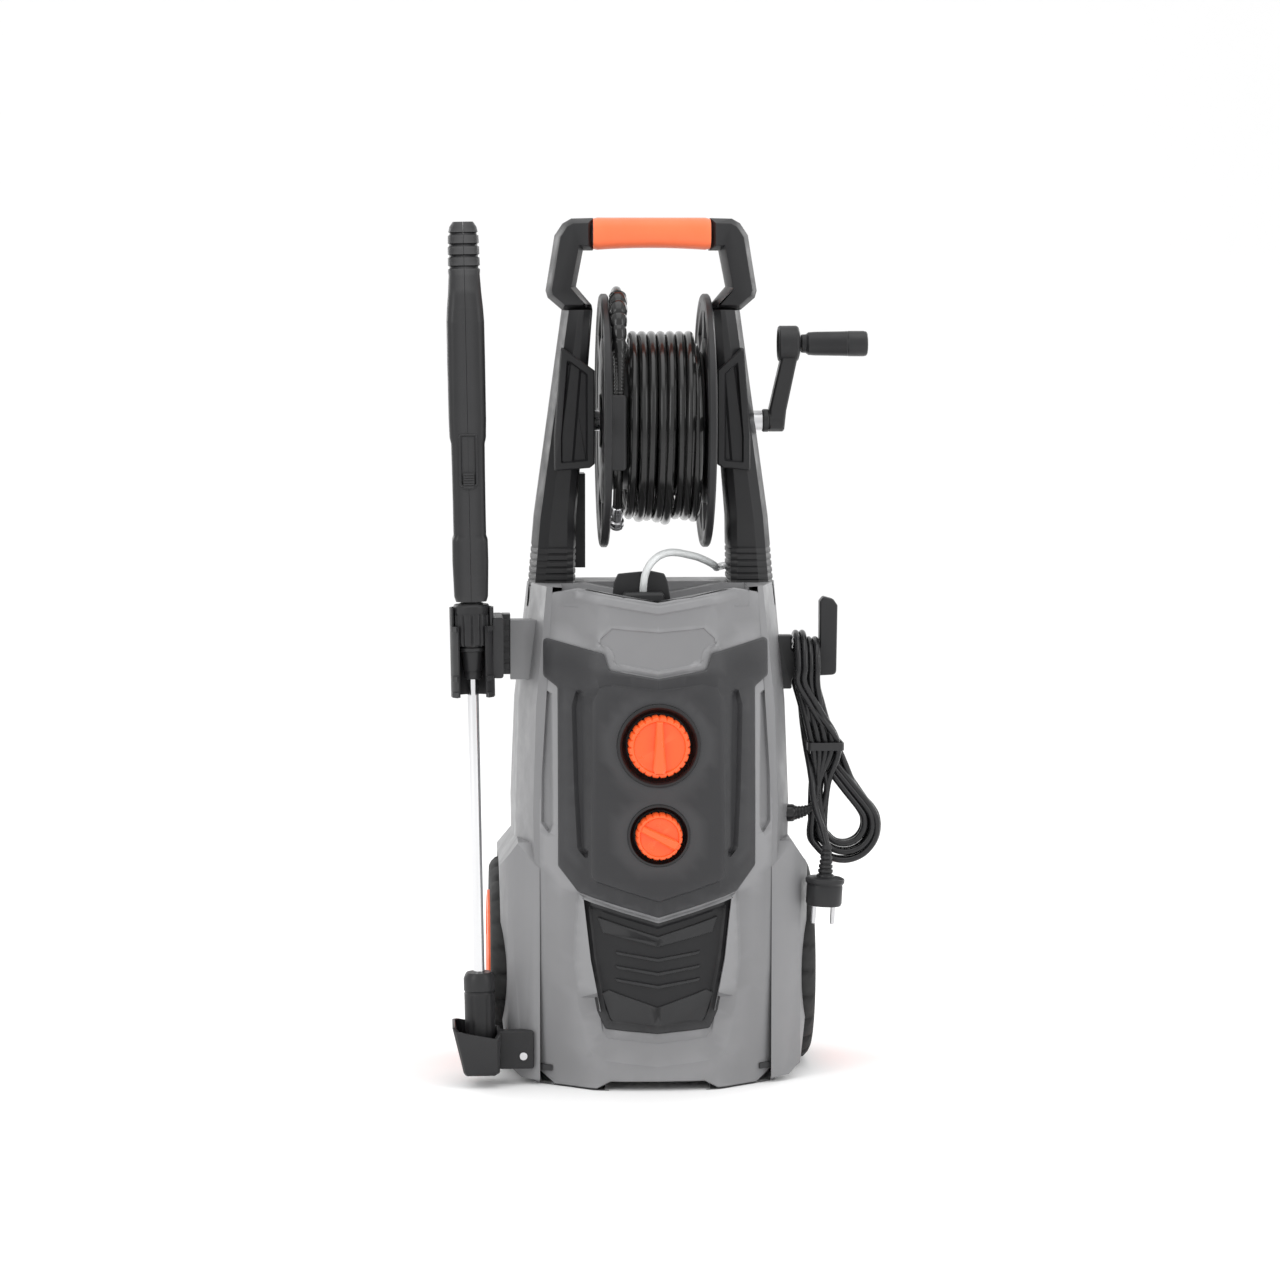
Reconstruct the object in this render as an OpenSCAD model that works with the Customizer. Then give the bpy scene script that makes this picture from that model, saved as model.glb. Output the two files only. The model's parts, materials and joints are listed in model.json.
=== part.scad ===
// Upright electric pressure washer with a hose reel, a stored spray gun and a hung mains lead.
// X runs across the machine to the crank's side, Y to the back, Z up. The floor is z = 0.
// Modules draw about the machine's own middle plane; placed() moves that plane to middle_x.

/* [Frame] */
// Where the machine's middle plane lies, so that the whole object is centred on the origin
middle_x = -8; // [-10:0.5:-5]

/* [Housing] */
// Top of the housing, where the columns come out
body_top = 494; // [460:1:530]
// Half width of the housing at its widest above the fenders
body_half = 141; // [120:1:160]
// Distance from the frame's middle to the housing's front ridge
body_front = 128; // [110:1:140]
// Distance from the frame's middle to the housing's back
body_back = 112; // [90:1:125]
// Wall thickness of the shells
wall = 3; // [2:0.5:4]
// Plane where the front and rear shells meet
split_y = 10; // [0:1:20]

/* [Handle] */
// Top of the handle above the floor
handle_top = 858; // [820:1:900]
// Height of the joint between the columns and the yoke
yoke_z = 766; // [740:1:790]
// Half length of the soft grip
grip_half = 60; // [50:1:62]

/* [Reel] */
// Height of the reel's axle
reel_z = 655; // [645:1:665]
// Depth position of the reel's axle
reel_y = 15; // [10:1:20]
// Middle of the reel between its flanges
reel_x = 3.5; // [0:0.5:6]
// Radius of a flange
flange_r = 127; // [110:1:130]
// Distance between the outer faces of the flanges
reel_w = 110; // [100:1:112]
// Radius of the drum that the hose is wound on
drum_r = 69; // [50:1:72]
// Distance from the reel's axle to the crank grip's axle
crank_r = 77; // [60:1:90]
// Outer diameter of the pressure hose
hose_d = 9.4; // [8:0.1:11]

/* [Wheels] */
// Radius of a wheel
wheel_r = 105; // [95:1:110]
// Depth position of the wheel axle
axle_y = 52; // [50:1:55]
// Distance from the middle to a tyre's outer face
wheel_out = 163; // [158:1:170]
// Width of a tyre
tyre_w = 34; // [28:1:36]
// Radius of the axle
axle_r = 6; // [5:0.5:8]

/* [Controls] */
// Height of the power switch knob
power_z = 343; // [335:1:350]
// Radius of the power switch knob
power_r = 30.5; // [26:0.5:33]
// Height of the pressure knob
pressure_z = 255; // [250:1:260]
// Radius of the pressure knob
pressure_r = 23; // [19:0.5:25]
// Plane of the knobs' front faces
knob_front = -152; // [-156:1:-148]

/* [Gun and lance] */
// Distance from the middle to the foot of the lance
lance_x = -173.5; // [-175:0.5:-173]
// Depth position of the lance
lance_y = -72; // [-74:1:-70]
// Height of the nozzle's tip in its cup
lance_z = 20; // [18:1:24]
// Lean of the stored lance away from the housing
lance_lean = 1; // [0.5:0.25:1]
// Radius of the steel lance tube
tube_r = 5.5; // [4.5:0.25:6]
// Width of the gun's body
gun_w = 37; // [32:1:40]

/* [Cords] */
// Diameter of the mains lead
lead_d = 6.4; // [6:0.1:7]
// Diameter of the detergent suction tube
suction_d = 7.5; // [6:0.5:8]

/* [Hidden] */
$fn = 48;

shell_grey = "#8f8f8f";
charcoal = "#454545";
satin_black = "#262626";
orange = "#ff5f28";
steel = "#c8c8c8";
run_gap = 0.05;                 // radial clearance of every turning fit
gap = 0.5;                      // clearance between pieces that only pass each other
panel_proud = 4;                // how far the control panel stands out of the shell
fender_half = 154;
post_r = 6.5;                   // screw posts of the shells
screw_head_r = 4;
screw_tunnel_back = split_y + 28;
screw_spots = [[-120, 440], [120, 440], [-130, 300], [130, 300], [-115, 60], [115, 60]];
cup_screw_x = -131.5;
cup_screw_z = 29;
cup_screw_r = 2.1;
cup_plate_y = -84;
arm_y0 = -38;                   // the arm that carries the lance clip
arm_y1 = -18;
tube_in = [96, 54];             // where the suction tube goes back into the housing
well_r = wheel_r + 4;
well_x = wheel_out - tyre_w - 5;
reel_left = reel_x - reel_w / 2;
reel_right = reel_x + reel_w / 2;
flange_t = 8;
shaft_r = 10;
crank_face = 118;               // where the crank's boss begins
crank_boss = 16;
grip_x0 = 152;
grip_x1 = 218;
switch_y = -62;                 // back of the power switch
motor_r = 62;
pump_y = -18;                   // the motor and pump stand on this vertical axis
pump_r = 50;
valve_front = pump_y - 46;      // mouth of the valve that the pressure knob turns

// ---- placing and drawing helpers ----
// An outline of (y, z) points made solid from x0 to x1
module along_x(x0, x1) {
    translate([x0, 0, 0]) rotate([90, 0, 90]) linear_extrude(x1 - x0) children();
}
// An outline of (x, z) points made solid from y0 to y1
module along_y(y0, y1) {
    translate([0, y1, 0]) rotate([90, 0, 0]) linear_extrude(y1 - y0) children();
}
module rod_x(r, x0, x1) {
    translate([x0, 0, 0]) rotate([0, 90, 0]) cylinder(r = r, h = x1 - x0);
}
module rod_y(r, y0, y1) {
    translate([0, y1, 0]) rotate([90, 0, 0]) cylinder(r = r, h = y1 - y0);
}
// A turned shape about the X axis, from (radius, x) points
module turned_x(points) {
    rotate([0, 90, 0]) rotate_extrude() polygon(points);
}
// A turned shape about the Y axis, from (radius, y) points
module turned_y(points) {
    rotate([-90, 0, 0]) rotate_extrude() polygon(points);
}
module on_side(s) {
    mirror([s < 0 ? 1 : 0, 0, 0]) children();
}
module at_reel() {
    translate([0, reel_y, reel_z]) children();
}
module at_axle() {
    translate([0, axle_y, wheel_r]) children();
}
module at_lance() {
    translate([lance_x, lance_y, lance_z]) rotate([0, -lance_lean, 0]) children();
}
module placed() {
    translate([middle_x, 0, 0]) children();
}
module box(low, high) {
    translate(low) cube(high - low);
}
// Points of a half outline with their mirror images, as one closed outline
function both_sides(half) = concat(
    half, [for (i = [len(half) - 1 : -1 : 0]) if (abs(half[i][0]) > 0.01) [-half[i][0], half[i][1]]]);

// ---- housing ----
// Plan outline of the housing: a blunt ridge in front, slanted cheeks, straight sides
function plan(half, front, back) = both_sides([
    [0, -front], [0.25 * half, 1 - front], [0.46 * half, 8 - front], [0.86 * half, 50 - front],
    [0.97 * half, 108 - front], [half, back - 50], [half - 20, back], [0, back]]);
// One level of the housing: height, share of the half width, front and back distances
levels = [
    [0, 0.975, body_front - 8, body_back - 12],
    [120, 0.975, body_front, body_back],
    [274, 1, body_front, body_back - 4],
    [376, 0.972, body_front - 4, body_back - 16],
    [body_top, 0.883, body_front - 14, body_back - 48]];
module housing_form(inset) {
    hull()
        for (level = levels)
            translate([0, 0, level[0] < 1 ? 0 : level[0] >= body_top ? body_top - inset : level[0]])
                linear_extrude(0.01)
                    polygon(plan(level[1] * body_half - inset, level[2] - inset, level[3] - inset));
}
fender_side = [
    [-88, 4], [-92, 110], [-84, 214], [-66, 240], [96, 240], [124, 216], [134, 170], [128, 18]];
fender_front = [
    [60, 4], [132, 4], [146, 16], [fender_half - 2, 60], [fender_half, 214], [136, 240], [60, 240]];
fender_plan = [
    [60, -60], [96, -92], [120, -80], [146, -60], [fender_half, -42], [fender_half, 134], [60, 134]];
// A fender reaches round the front and top of a wheel; its front carries on the housing's cheek
module fender(inset) {
    intersection() {
        along_x(100 + inset, fender_half - inset) offset(delta = -inset) polygon(fender_side);
        along_y(-100, 134) offset(delta = -inset) polygon(fender_front);
        linear_extrude(wheel_r * 3) offset(delta = -inset) polygon(fender_plan);
    }
}
module wheel_well(inset) {
    at_axle() rod_x(well_r + inset, well_x - inset, fender_half + 20);
    box([well_x - inset, axle_y - 40, -1], [fender_half + 20, axle_y + 100, wheel_r]);
}
module housing_solid(inset) {
    difference() {
        union() {
            housing_form(inset);
            for (s = [-1, 1]) on_side(s) fender(inset);
        }
        for (s = [-1, 1]) on_side(s) wheel_well(inset);
    }
}
top_notch = [
    [-77, body_top + 1.5], [0, body_top - 13], [77, body_top + 1.5],
    [77, body_top + 30], [-77, body_top + 30]];
module housing_shell() {
    difference() {
        housing_solid(0);
        difference() {
            housing_solid(wall);
            box([-200, -200, body_top - 18 - wall], [200, 200, body_top + 10]);
        }
        along_y(-140, 5) polygon(top_notch);
        box([-92, -92, body_top - 18], [92, -20, body_top + 10]);
        box([-48, -200, -1], [48, 200, 9]);
        box([-200, split_y + 40, -1], [200, 200, 14]);
        for (s = [-1, 1]) on_side(s) column_plug(gap / 5);
        at_filler() translate([0, 0, body_top - 40]) cylinder(r = 15, h = 60);
        translate([tube_in[0] - 2, tube_in[1] - 1, body_top - 40]) cylinder(d = suction_d + 7, h = 60);
        at_axle() rod_x(axle_r + 1, -130, 130);
    }
}
panel_outline = both_sides([
    [0, 173.5], [78, 197], [97.3, 221], [97.3, 397], [111, 407], [111, 445],
    [53, 432], [48, 416], [0, 407.5]]);
grille_outline = both_sides([
    [0, 55], [52, 60], [60, 78], [70, 130], [77.5, 195.5], [0, 172]]);
module front_shell() {
    color(shell_grey) difference() {
        housing_shell();
        box([-250, split_y, -10], [250, 300, 600]);
        along_y(-140, -60) polygon(grille_outline);
        translate([0, 0, power_z]) rod_y(34, -140, -60);
        translate([0, 0, pressure_z]) rod_y(24, -140, -60);
        translate([0, 0, pressure_z]) rod_y(31.5, -140, bezel_back);
        at_gland() rod_x(9, 120, 160);
        translate([cup_screw_x, 0, cup_screw_z]) rod_y(cup_screw_r + 0.1, -100, -40);
    }
    color(shell_grey) clip_boss();
    color(shell_grey) for (s = [-1, 1]) on_side(s) foot();
    color(shell_grey) for (p = screw_spots) translate([p[0], 0, p[1]]) difference() {
        rod_y(post_r, split_y - 18, split_y);
        rod_y(2.1, split_y - 13, split_y + 1);
    }
}
// A solid pad inside each front corner, which the machine stands on
module foot() {
    intersection() {
        housing_form(1);
        box([52, -118, 0], [100, -70, 14]);
    }
}
// Block on the shell's side that carries the lance clip
module clip_boss() {
    difference() {
        box([-142.5, arm_y0 - 2, 400], [-100, arm_y1 + 2, 459]);
        housing_form(0);
    }
}
module rear_shell() {
    color(shell_grey) difference() {
        housing_shell();
        box([-250, -300, -10], [250, split_y, 600]);
        translate([0, 0, pressure_z]) rod_y(16.5, 60, 140);
        for (k = [0 : 5]) box([-60, 60, 300 + 14 * k], [60, 140, 305 + 14 * k]);
        for (p = screw_spots) translate([p[0], 0, p[1]]) rod_y(screw_head_r + 0.3, split_y + 20, 140);
    }
    color(shell_grey) for (p = screw_spots) translate([p[0], 0, p[1]]) screw_tunnel();
}
// A tube from the joint between the shells to the back wall, stepped for a screw and its head
module screw_tunnel() {
    difference() {
        rod_y(post_r, split_y, screw_tunnel_back);
        rod_y(2.1, split_y - 1, split_y + 21);
        rod_y(screw_head_r + 0.3, split_y + 20, 140);
    }
}
module base_chassis() {
    color(satin_black) difference() {
        union() {
            intersection() {
                housing_solid(wall + 0.1);
                box([-200, -200, 14.1], [200, 100, 20]);
            }
            translate([0, pump_y, 16]) cylinder(r = motor_r + 5, h = 12);
            for (s = [-1, 1]) box([s * 100 - 6, axle_y - 22, 16], [s * 100 + 6, axle_y + 22, wheel_r + 16]);
        }
        translate([0, pump_y, 20]) cylinder(r = motor_r + 0.1, h = 30);
        at_axle() rod_x(axle_r, -130, 130);
        translate([0, pump_y, 0]) cylinder(r = 30, h = 40);
    }
}
// The panel is a skin over the shell's front, stepped round its edge
module control_panel() {
    color(charcoal) difference() {
        intersection() {
            along_y(-150, -50) polygon(panel_outline);
            housing_form(-panel_proud);
        }
        housing_form(0);
        translate([0, 0, power_z]) rod_y(36, -140, -60);
        translate([0, 0, pressure_z]) rod_y(26, -140, -60);
        translate([0, 0, power_z]) rod_y(41.5, -160, bezel_back);
        translate([0, 0, pressure_z]) rod_y(31.5, -160, bezel_back);
    }
}
module grille_cover() {
    color(satin_black) difference() {
        intersection() {
            along_y(-150, -60) offset(delta = -0.4) polygon(grille_outline);
            housing_form(-1);
        }
        housing_form(5);
        for (z = [76, 88, 100, 118, 134])
            along_y(-150, -60)
                polygon([[-34, z + 8], [0, z], [34, z + 8], [34, z + 11], [0, z + 3], [-34, z + 11]]);
    }
}

// ---- knobs ----
bezel_back = -127;
// A round dish with a raised rim and a bearing for the knob's spindle
module bezel(r, seat_r, spindle_r) {
    turned_y([[spindle_r + run_gap, bezel_back - 1], [spindle_r + run_gap, bezel_back + 12],
        [seat_r, bezel_back + 12], [seat_r, bezel_back], [r, bezel_back], [r, -133],
        [r - 2, -134.5], [r - 4, -133], [seat_r + 2, bezel_back - 1]]);
}
module power_bezel() {
    color(satin_black) translate([0, 0, power_z]) bezel(41, 32, 6);
}
module pressure_bezel() {
    color(satin_black) translate([0, 0, pressure_z]) bezel(31, 22, 5);
}
// A dial with a spindle; the pointer bar runs across its face
module knob(r, spindle_r, spindle_end, pointer_angle) {
    difference() {
        union() {
            turned_y([
                [0, knob_front + 5], [r - 5, knob_front + 5], [r - 1, knob_front + 8], [r, bezel_back - 2],
                [spindle_r, bezel_back - 2], [spindle_r, spindle_end], [0, spindle_end]]);
            rotate([0, pointer_angle, 0]) along_y(knob_front, knob_front + 8)
                polygon([[-3, r - 3], [3, r - 3], [6, 3 - r], [-6, 3 - r]]);
        }
        for (k = [0 : 11])
            rotate([0, 30 * k, 0]) translate([r + 1.2, 0, 0]) rod_y(2.6, knob_front, bezel_back - 6);
    }
}
module power_knob() {
    color(orange) translate([0, 0, power_z]) knob(power_r, 6, -100, 0);
}
module pressure_knob() {
    color(orange) translate([0, 0, pressure_z]) knob(pressure_r, 5, valve_front + 3, -63);
}
module power_switch() {
    color(satin_black) difference() {
        box([-24, -112, power_z - 26], [24, switch_y, power_z + 26]);
        translate([0, 0, power_z]) rod_y(6 + run_gap, -113, -98);
    }
}

// ---- columns and handle ----
// Column levels: height, outer and inner edges, both for the right side
column_levels = [[body_top - 24, 125, 77], [560, 117.3, 75.8], [yoke_z, 88.7, 59]];
column_front = -16;
column_back = 36;
function column_outline(outer, inner, grow) = [
    [outer + grow, column_back + grow], [outer + grow, column_front + 12 - grow],
    [outer - 16, column_front - grow], [inner + 7, column_front - grow],
    [inner - grow, column_front + 8], [inner - grow, column_back + grow]];
module column_part(low, high, grow) {
    hull() {
        translate([0, 0, low[0]]) linear_extrude(0.01) polygon(column_outline(low[1], low[2], grow));
        translate([0, 0, high[0] - 0.01])
            linear_extrude(0.01) polygon(column_outline(high[1], high[2], grow));
    }
}
// The foot of a column, grown a little, as the hole it leaves in the housing
module column_plug(grow) {
    column_part(column_levels[0], column_levels[1], grow);
}
riser_lean = 3.2;
riser_foot = [-98, reel_y, body_top - 60];
module column() {
    difference() {
        union() {
            column_part(column_levels[0], column_levels[1], 0);
            column_part(column_levels[1], column_levels[2], 0);
        }
        at_reel() rod_x(shaft_r + run_gap, 0, 130);
    }
}
module column_left() {
    color(satin_black) difference() {
        on_side(-1) column();
        riser_channel();
    }
}
module column_right() {
    color(satin_black) column();
}
// A straight channel inside the left column for the pressure pipe
module riser_channel() {
    translate(riser_foot) rotate([0, riser_lean, 0]) cylinder(r = 6.5, h = 220);
}
module riser_pipe() {
    color(steel) union() {
        translate(riser_foot) rotate([0, riser_lean, 0]) cylinder(r = 5, h = 205);
        translate([0, reel_y, riser_foot[2]]) rod_x(7, riser_foot[0] - 7, 8);
        translate([0, reel_y, 282]) cylinder(r = 5, h = riser_foot[2] - 282);
    }
}
yoke_outline = [
    [0, handle_top], [80, handle_top - 1], [96, handle_top - 18], [105, 785], [89, yoke_z],
    [59, yoke_z], [60, 771], [75.5, 789], [68.5, handle_top - 33], [0, handle_top - 33]];
module handle_yoke() {
    color(satin_black) difference() {
        along_y(column_front + 2, 32) polygon(both_sides(yoke_outline));
        difference() {
            box([-grip_half, -60, handle_top - 60], [grip_half, 60, handle_top + 10]);
            box([-grip_half, column_front + 8, handle_top - 28], [grip_half, 26, handle_top - 5]);
        }
    }
}
module handle_grip() {
    color(orange) difference() {
        intersection() {
            along_x(-grip_half, grip_half)
                translate([8, handle_top - 16.5]) offset(r = 12) square([26, 9], center = true);
            box([-grip_half, -40, handle_top - 34], [grip_half, 60, handle_top]);
        }
        box([-grip_half - 1, column_front + 8, handle_top - 28], [grip_half + 1, 26, handle_top - 5]);
    }
}
// Housing of the reel's bearing on the inside of a column
module bearing_cover(inner) {
    difference() {
        along_y(column_front - 3, column_back + 4)
            polygon([[91, 730], [inner, 706], [inner, 613], [inner + 5, 609], [98, 606], [98, 640]]);
        column_part(column_levels[1], column_levels[2], 0);
        along_y(column_front - 4, column_front + 3)
            polygon([[84, 712], [inner + 9, 698], [inner + 9, 622], [88, 618]]);
        at_reel() rod_x(shaft_r + run_gap, 0, 130);
    }
}
module bearing_cover_left() {
    color(satin_black) on_side(-1) bearing_cover(57.5);
}
module bearing_cover_right() {
    color(satin_black) bearing_cover(65);
}
module nozzle_holder() {
    color(satin_black) difference() {
        union() {
            box([-77, column_back, 506], [-65, column_back + 34, 601]);
            box([-98, column_back, 506], [-70, column_back + 3, 601]);
        }
        box([-78, column_back + 10, 551], [-64, column_back + 40, 557]);
        translate([0, column_back + 20, 582]) rod_x(6, -80, -60);
        translate([0, column_back + 20, 528]) rod_x(6, -80, -60);
    }
}

// ---- reel ----
module flange(x0) {
    difference() {
        turned_x([
            [shaft_r, x0], [flange_r - 3, x0], [flange_r, x0 + 2], [flange_r, x0 + flange_t - 2],
            [flange_r - 3, x0 + flange_t], [shaft_r, x0 + flange_t]]);
        for (k = [0 : 7])
            rotate([45 * k, 0, 0]) rotate([0, 90, 0]) rotate([0, 0, 5])
                translate([0, 0, x0 - 1])
                    rotate_extrude(angle = 35) translate([82, 0]) square([30, flange_t + 2]);
    }
}
module reel_flange_left() {
    color(satin_black) at_reel() flange(reel_left);
}
module reel_flange_right() {
    color(satin_black) at_reel() flange(reel_right - flange_t);
}
module reel_drum() {
    color(satin_black) at_reel() turned_x([
        [drum_r - 3, reel_left + flange_t], [drum_r, reel_left + flange_t],
        [drum_r, reel_right - flange_t], [drum_r - 3, reel_right - flange_t]]);
}
module reel_shaft() {
    color(steel) at_reel() union() {
        rod_x(shaft_r, -99, crank_face + 6);
        turned_x([
            [shaft_r, reel_x - 4], [drum_r - 3, reel_x - 4],
            [drum_r - 3, reel_x + 4], [shaft_r, reel_x + 4]]);
    }
}
// Block beside the left flange where the hose starts
module hose_inlet_block() {
    color(satin_black) at_reel() difference() {
        box([reel_left + flange_t, -92, -46], [reel_left + flange_t + 15, -drum_r + 16, 28]);
        rod_x(drum_r, reel_left, reel_right);
    }
}
// The wound hose as one plain ring, hanging a little below the drum's middle
winding_r = 97;
module hose_winding() {
    color("#101010") at_reel() difference() {
        translate([reel_left + flange_t + 15.6, 0, -5])
            rotate([0, 90, 0]) cylinder(r = winding_r, h = 8 * hose_d);
        rod_x(drum_r + 0.3, reel_left, reel_right);
    }
}
// Ribbed bend sleeve that arches up beside the winding
sleeve_x = reel_left + flange_t + 8;
sleeve_path = [[-82, 34], [-84, 58], [-80, 84], [-68, 108], [-50, 124]];
module hose_sleeve() {
    color("#101010") at_reel() for (i = [0 : len(sleeve_path) - 2]) {
        a = sleeve_path[i];
        b = sleeve_path[i + 1];
        hull() {
            translate([sleeve_x, a[0], a[1]]) sphere(r = 5 + 0.9 * i, $fn = 20);
            translate([sleeve_x, b[0], b[1]]) sphere(r = 5.9 + 0.9 * i, $fn = 20);
        }
    }
}
module hose_connector() {
    color("#202020") at_reel() translate([sleeve_x, -28, -105]) rotate([38, 0, 0]) difference() {
        union() {
            cylinder(r = 5.5, h = 26);
            cylinder(r = 7, h = 9);
        }
        translate([0, 0, -1]) cylinder(r = 3, h = 9);
    }
}
module crank_arm() {
    lean = 15;                  // how far the arm leans out from hub to grip
    color(satin_black) at_reel() difference() {
        union() {
            rod_x(11, crank_face, crank_face + crank_boss);
            translate([0, 0, crank_r]) rod_x(18, crank_face + 10, crank_face + 32);
            along_y(-11, 11) polygon([
                [crank_face, -10], [crank_face + crank_boss, -10],
                [crank_face + crank_boss + lean, crank_r - 8],
                [crank_face + 32, crank_r], [crank_face + lean - 2, crank_r - 10]]);
            translate([0, 0, crank_r]) rod_x(4, crank_face + 30, grip_x1 - 6);
        }
        rod_x(shaft_r, crank_face - 10, crank_face + 6);
        translate([0, 0, crank_r]) rod_x(15, crank_face + 8, crank_face + 20);
    }
}
module crank_grip() {
    color(satin_black) at_reel() translate([0, 0, crank_r]) turned_x([
        [4 + run_gap, grip_x0 - 1], [9, grip_x0 - 1], [11.7, grip_x0 + 4], [12.7, grip_x1 - 2], [11, grip_x1],
        [0, grip_x1], [0, grip_x1 - 4], [4 + run_gap, grip_x1 - 4]]);
}

// ---- lance, gun and their holders ----
clip_in = 19.4;
clip_low = 367;
clip_high = 455;
clip_arm_x = -160.2;              // the arm starts outside the bore, in the ring's wall
module lance_clip() {
    color(satin_black) union() {
        at_lance() difference() {
            translate([0, 0, clip_low]) cylinder(r = clip_in + 2.2, h = clip_high - clip_low);
            translate([0, 0, clip_low - 1]) cylinder(r = clip_in, h = clip_high - clip_low + 2);
            box([-13, -40, clip_low - 1], [13, 0, clip_high + 1]);
            box([-30, -40, clip_high - 18], [30, -8, clip_high + 1]);
        }
        box([clip_arm_x, lance_y - 8, 405], [-150, arm_y1, 465]);
        box([-151, arm_y0, 405], [-142.5, arm_y1, 465]);
    }
}
module lance_cup() {
    color(satin_black) difference() {
        union() {
                along_y(-104, -46) polygon([[-202, 61], [-154.5, 54], [-154.5, 16], [-191, 12]]);
            difference() {
                box([-156, cup_plate_y, 16], [-121, -58, 54]);
                on_side(-1) fender(0);
            }
        }
        along_y(-101, -49) polygon([[-199, 62], [-157.5, 62], [-157.5, 17], [-188.5, 15.5]]);
        translate([cup_screw_x, 0, cup_screw_z]) rod_y(cup_screw_r, -100, -40);
    }
}
// Side outline of the gun: barrel down, grip leaning back at the top
gun_side = [
    [-15, 461], [-18, 488], [-19, 520], [-19, 738], [-12, 764], [40, 831], [50, 834], [66, 820],
    [66, 810], [26, 756], [21, 735], [21, 500], [17, 461]];
guard_outer = [[20, 632], [50, 664], [66, 722], [57, 796], [20, 765]];
guard_inner = [[20, 645], [45, 671], [59, 723], [52, 778], [26, 753], [20, 735]];
module gun_solid() {
    difference() {
        union() {
            along_x(-gun_w / 2, gun_w / 2) polygon(gun_side);
            along_x(-6, 6) difference() {
                polygon(guard_outer);
                polygon(guard_inner);
            }
        }
        for (s = [-1, 1]) box([s > 0 ? 15 : -25, -30, 748], [s > 0 ? 25 : -15, 90, 840]);
        box([-3.6, 1, 690], [3.6, 60, 744]);
        translate([0, 8, 724]) rod_x(2.5, -12, 12);
        box([-7.5, -25, 557], [7.5, -14.5, 601]);
        translate([0, 0, 455]) cylinder(r = 10.1, h = 30);
    }
}
module gun_half(s) {
    at_lance() intersection() {
        gun_solid();
        box([s > 0 ? 0 : -60, -60, 400], [s > 0 ? 60 : 0, 120, 900]);
    }
}
module gun_half_left() {
    color(satin_black) gun_half(-1);
}
module gun_half_right() {
    color(satin_black) gun_half(1);
}
module gun_trigger() {
    color(satin_black) at_lance() union() {
        along_x(-3, 3) polygon([
            [3, 728], [3, 718], [20, 700], [34, 702], [42, 726], [38, 742], [33, 730], [24, 718], [12, 729]]);
        translate([0, 8, 724]) rod_x(2.45, -11.5, 11.5);
    }
}
module lock_slide() {
    color("#3a3a3a") at_lance() box([-5.5, -21.5, 572], [5.5, -14.9, 588]);
}
module collar_nut() {
    color(satin_black) at_lance() difference() {
        translate([0, 0, 417]) cylinder(r = 17.8, h = 41);
        translate([0, 0, 416]) cylinder(r = 12 + run_gap, h = 44);
        for (k = [0 : 11]) rotate([0, 0, 30 * k]) translate([19, 0, 414]) cylinder(r = 2.6, h = 36);
    }
}
module lance_adapter() {
    color(satin_black) at_lance()
        rotate_extrude() polygon([
            [tube_r, 384], [8.6, 384], [12, 413], [12, 459], [10, 459], [10, 474], [tube_r, 474]]);
}
module lance_tube() {
    color(steel) at_lance() translate([0, 0, 40]) difference() {
        cylinder(r = tube_r, h = 434);
        translate([0, 0, -1]) cylinder(r = tube_r - 1, h = 436);
    }
}
module spray_nozzle() {
    color(satin_black) at_lance() rotate_extrude() polygon([
        [3, 0], [11, 0], [15.5, 20], [15.5, 86], [13, 92], [tube_r + run_gap, 92],
        [tube_r + run_gap, 39.5], [3, 39.5]]);
}

// ---- mains lead, hook and plug ----
hook_y0 = -9;
hook_y1 = 9;
hook_top = 425;
module cable_hook() {
    color(satin_black) difference() {
        along_y(hook_y0, hook_y1)
            polygon([[124, 386], [141, 386], [141, 398], [186, 400], [187, 474], [169, 480], [169, hook_top],
                [141, hook_top], [141, 440], [124, 440]]);
        housing_form(0);
    }
}
module at_gland() {
    translate([0, -20, 262]) children();
}
module cable_gland() {
    color(satin_black) difference() {
        at_gland() union() {
            rod_x(8.9, 128, 143);
            rod_x(6, 143, 151);
        }
        at_gland() rod_x(lead_d / 2, 120, 160);
    }
}
// The lead's visible runs, as points: from the gland to the hank, and from the hank to the plug
lead_out = [
    [143.5, -20, 262], [149, -20, 262.3], [156, -19, 264.5], [161.5, -18, 269.5], [165, -17, 276.5],
    [166, -16, 284], [166, -15, 292]];
lead_in = [
    [160, -28, 292], [160.5, -30.5, 283], [162, -36.5, 272], [165, -45, 260], [169, -54, 247.5],
    [172, -60, 234]];
function unit(v) = v / norm(v);
// Rings of a tube swept along points, each square to the route there
function ring(points, i, r, n) =
    let (
        a = points[max(i - 1, 0)],
        b = points[min(i + 1, len(points) - 1)],
        d = unit(b - a),
        side = unit(cross(d, abs(d[1]) < 0.9 ? [0, 1, 0] : [1, 0, 0])),
        up = cross(side, d))
    [for (k = [0 : n - 1]) points[i] + r * (cos(360 * k / n) * side + sin(360 * k / n) * up)];
module swept_tube(points, d, n = 10) {
    rings = len(points);
    polyhedron(
        points = [for (i = [0 : rings - 1]) each ring(points, i, d / 2, n)],
        faces = concat(
            [[for (k = [n - 1 : -1 : 0]) k]],
            [for (i = [0 : rings - 2]) for (k = [0 : n - 1])
                [i * n + k, i * n + (k + 1) % n, (i + 1) * n + (k + 1) % n, (i + 1) * n + k]],
            [[for (k = [0 : n - 1]) (rings - 1) * n + k]]));
}
module mains_lead() {
    color("#0c0c0c") union() {
        swept_tube(lead_out, lead_d);
        swept_tube(lead_in, lead_d);
    }
}
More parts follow.
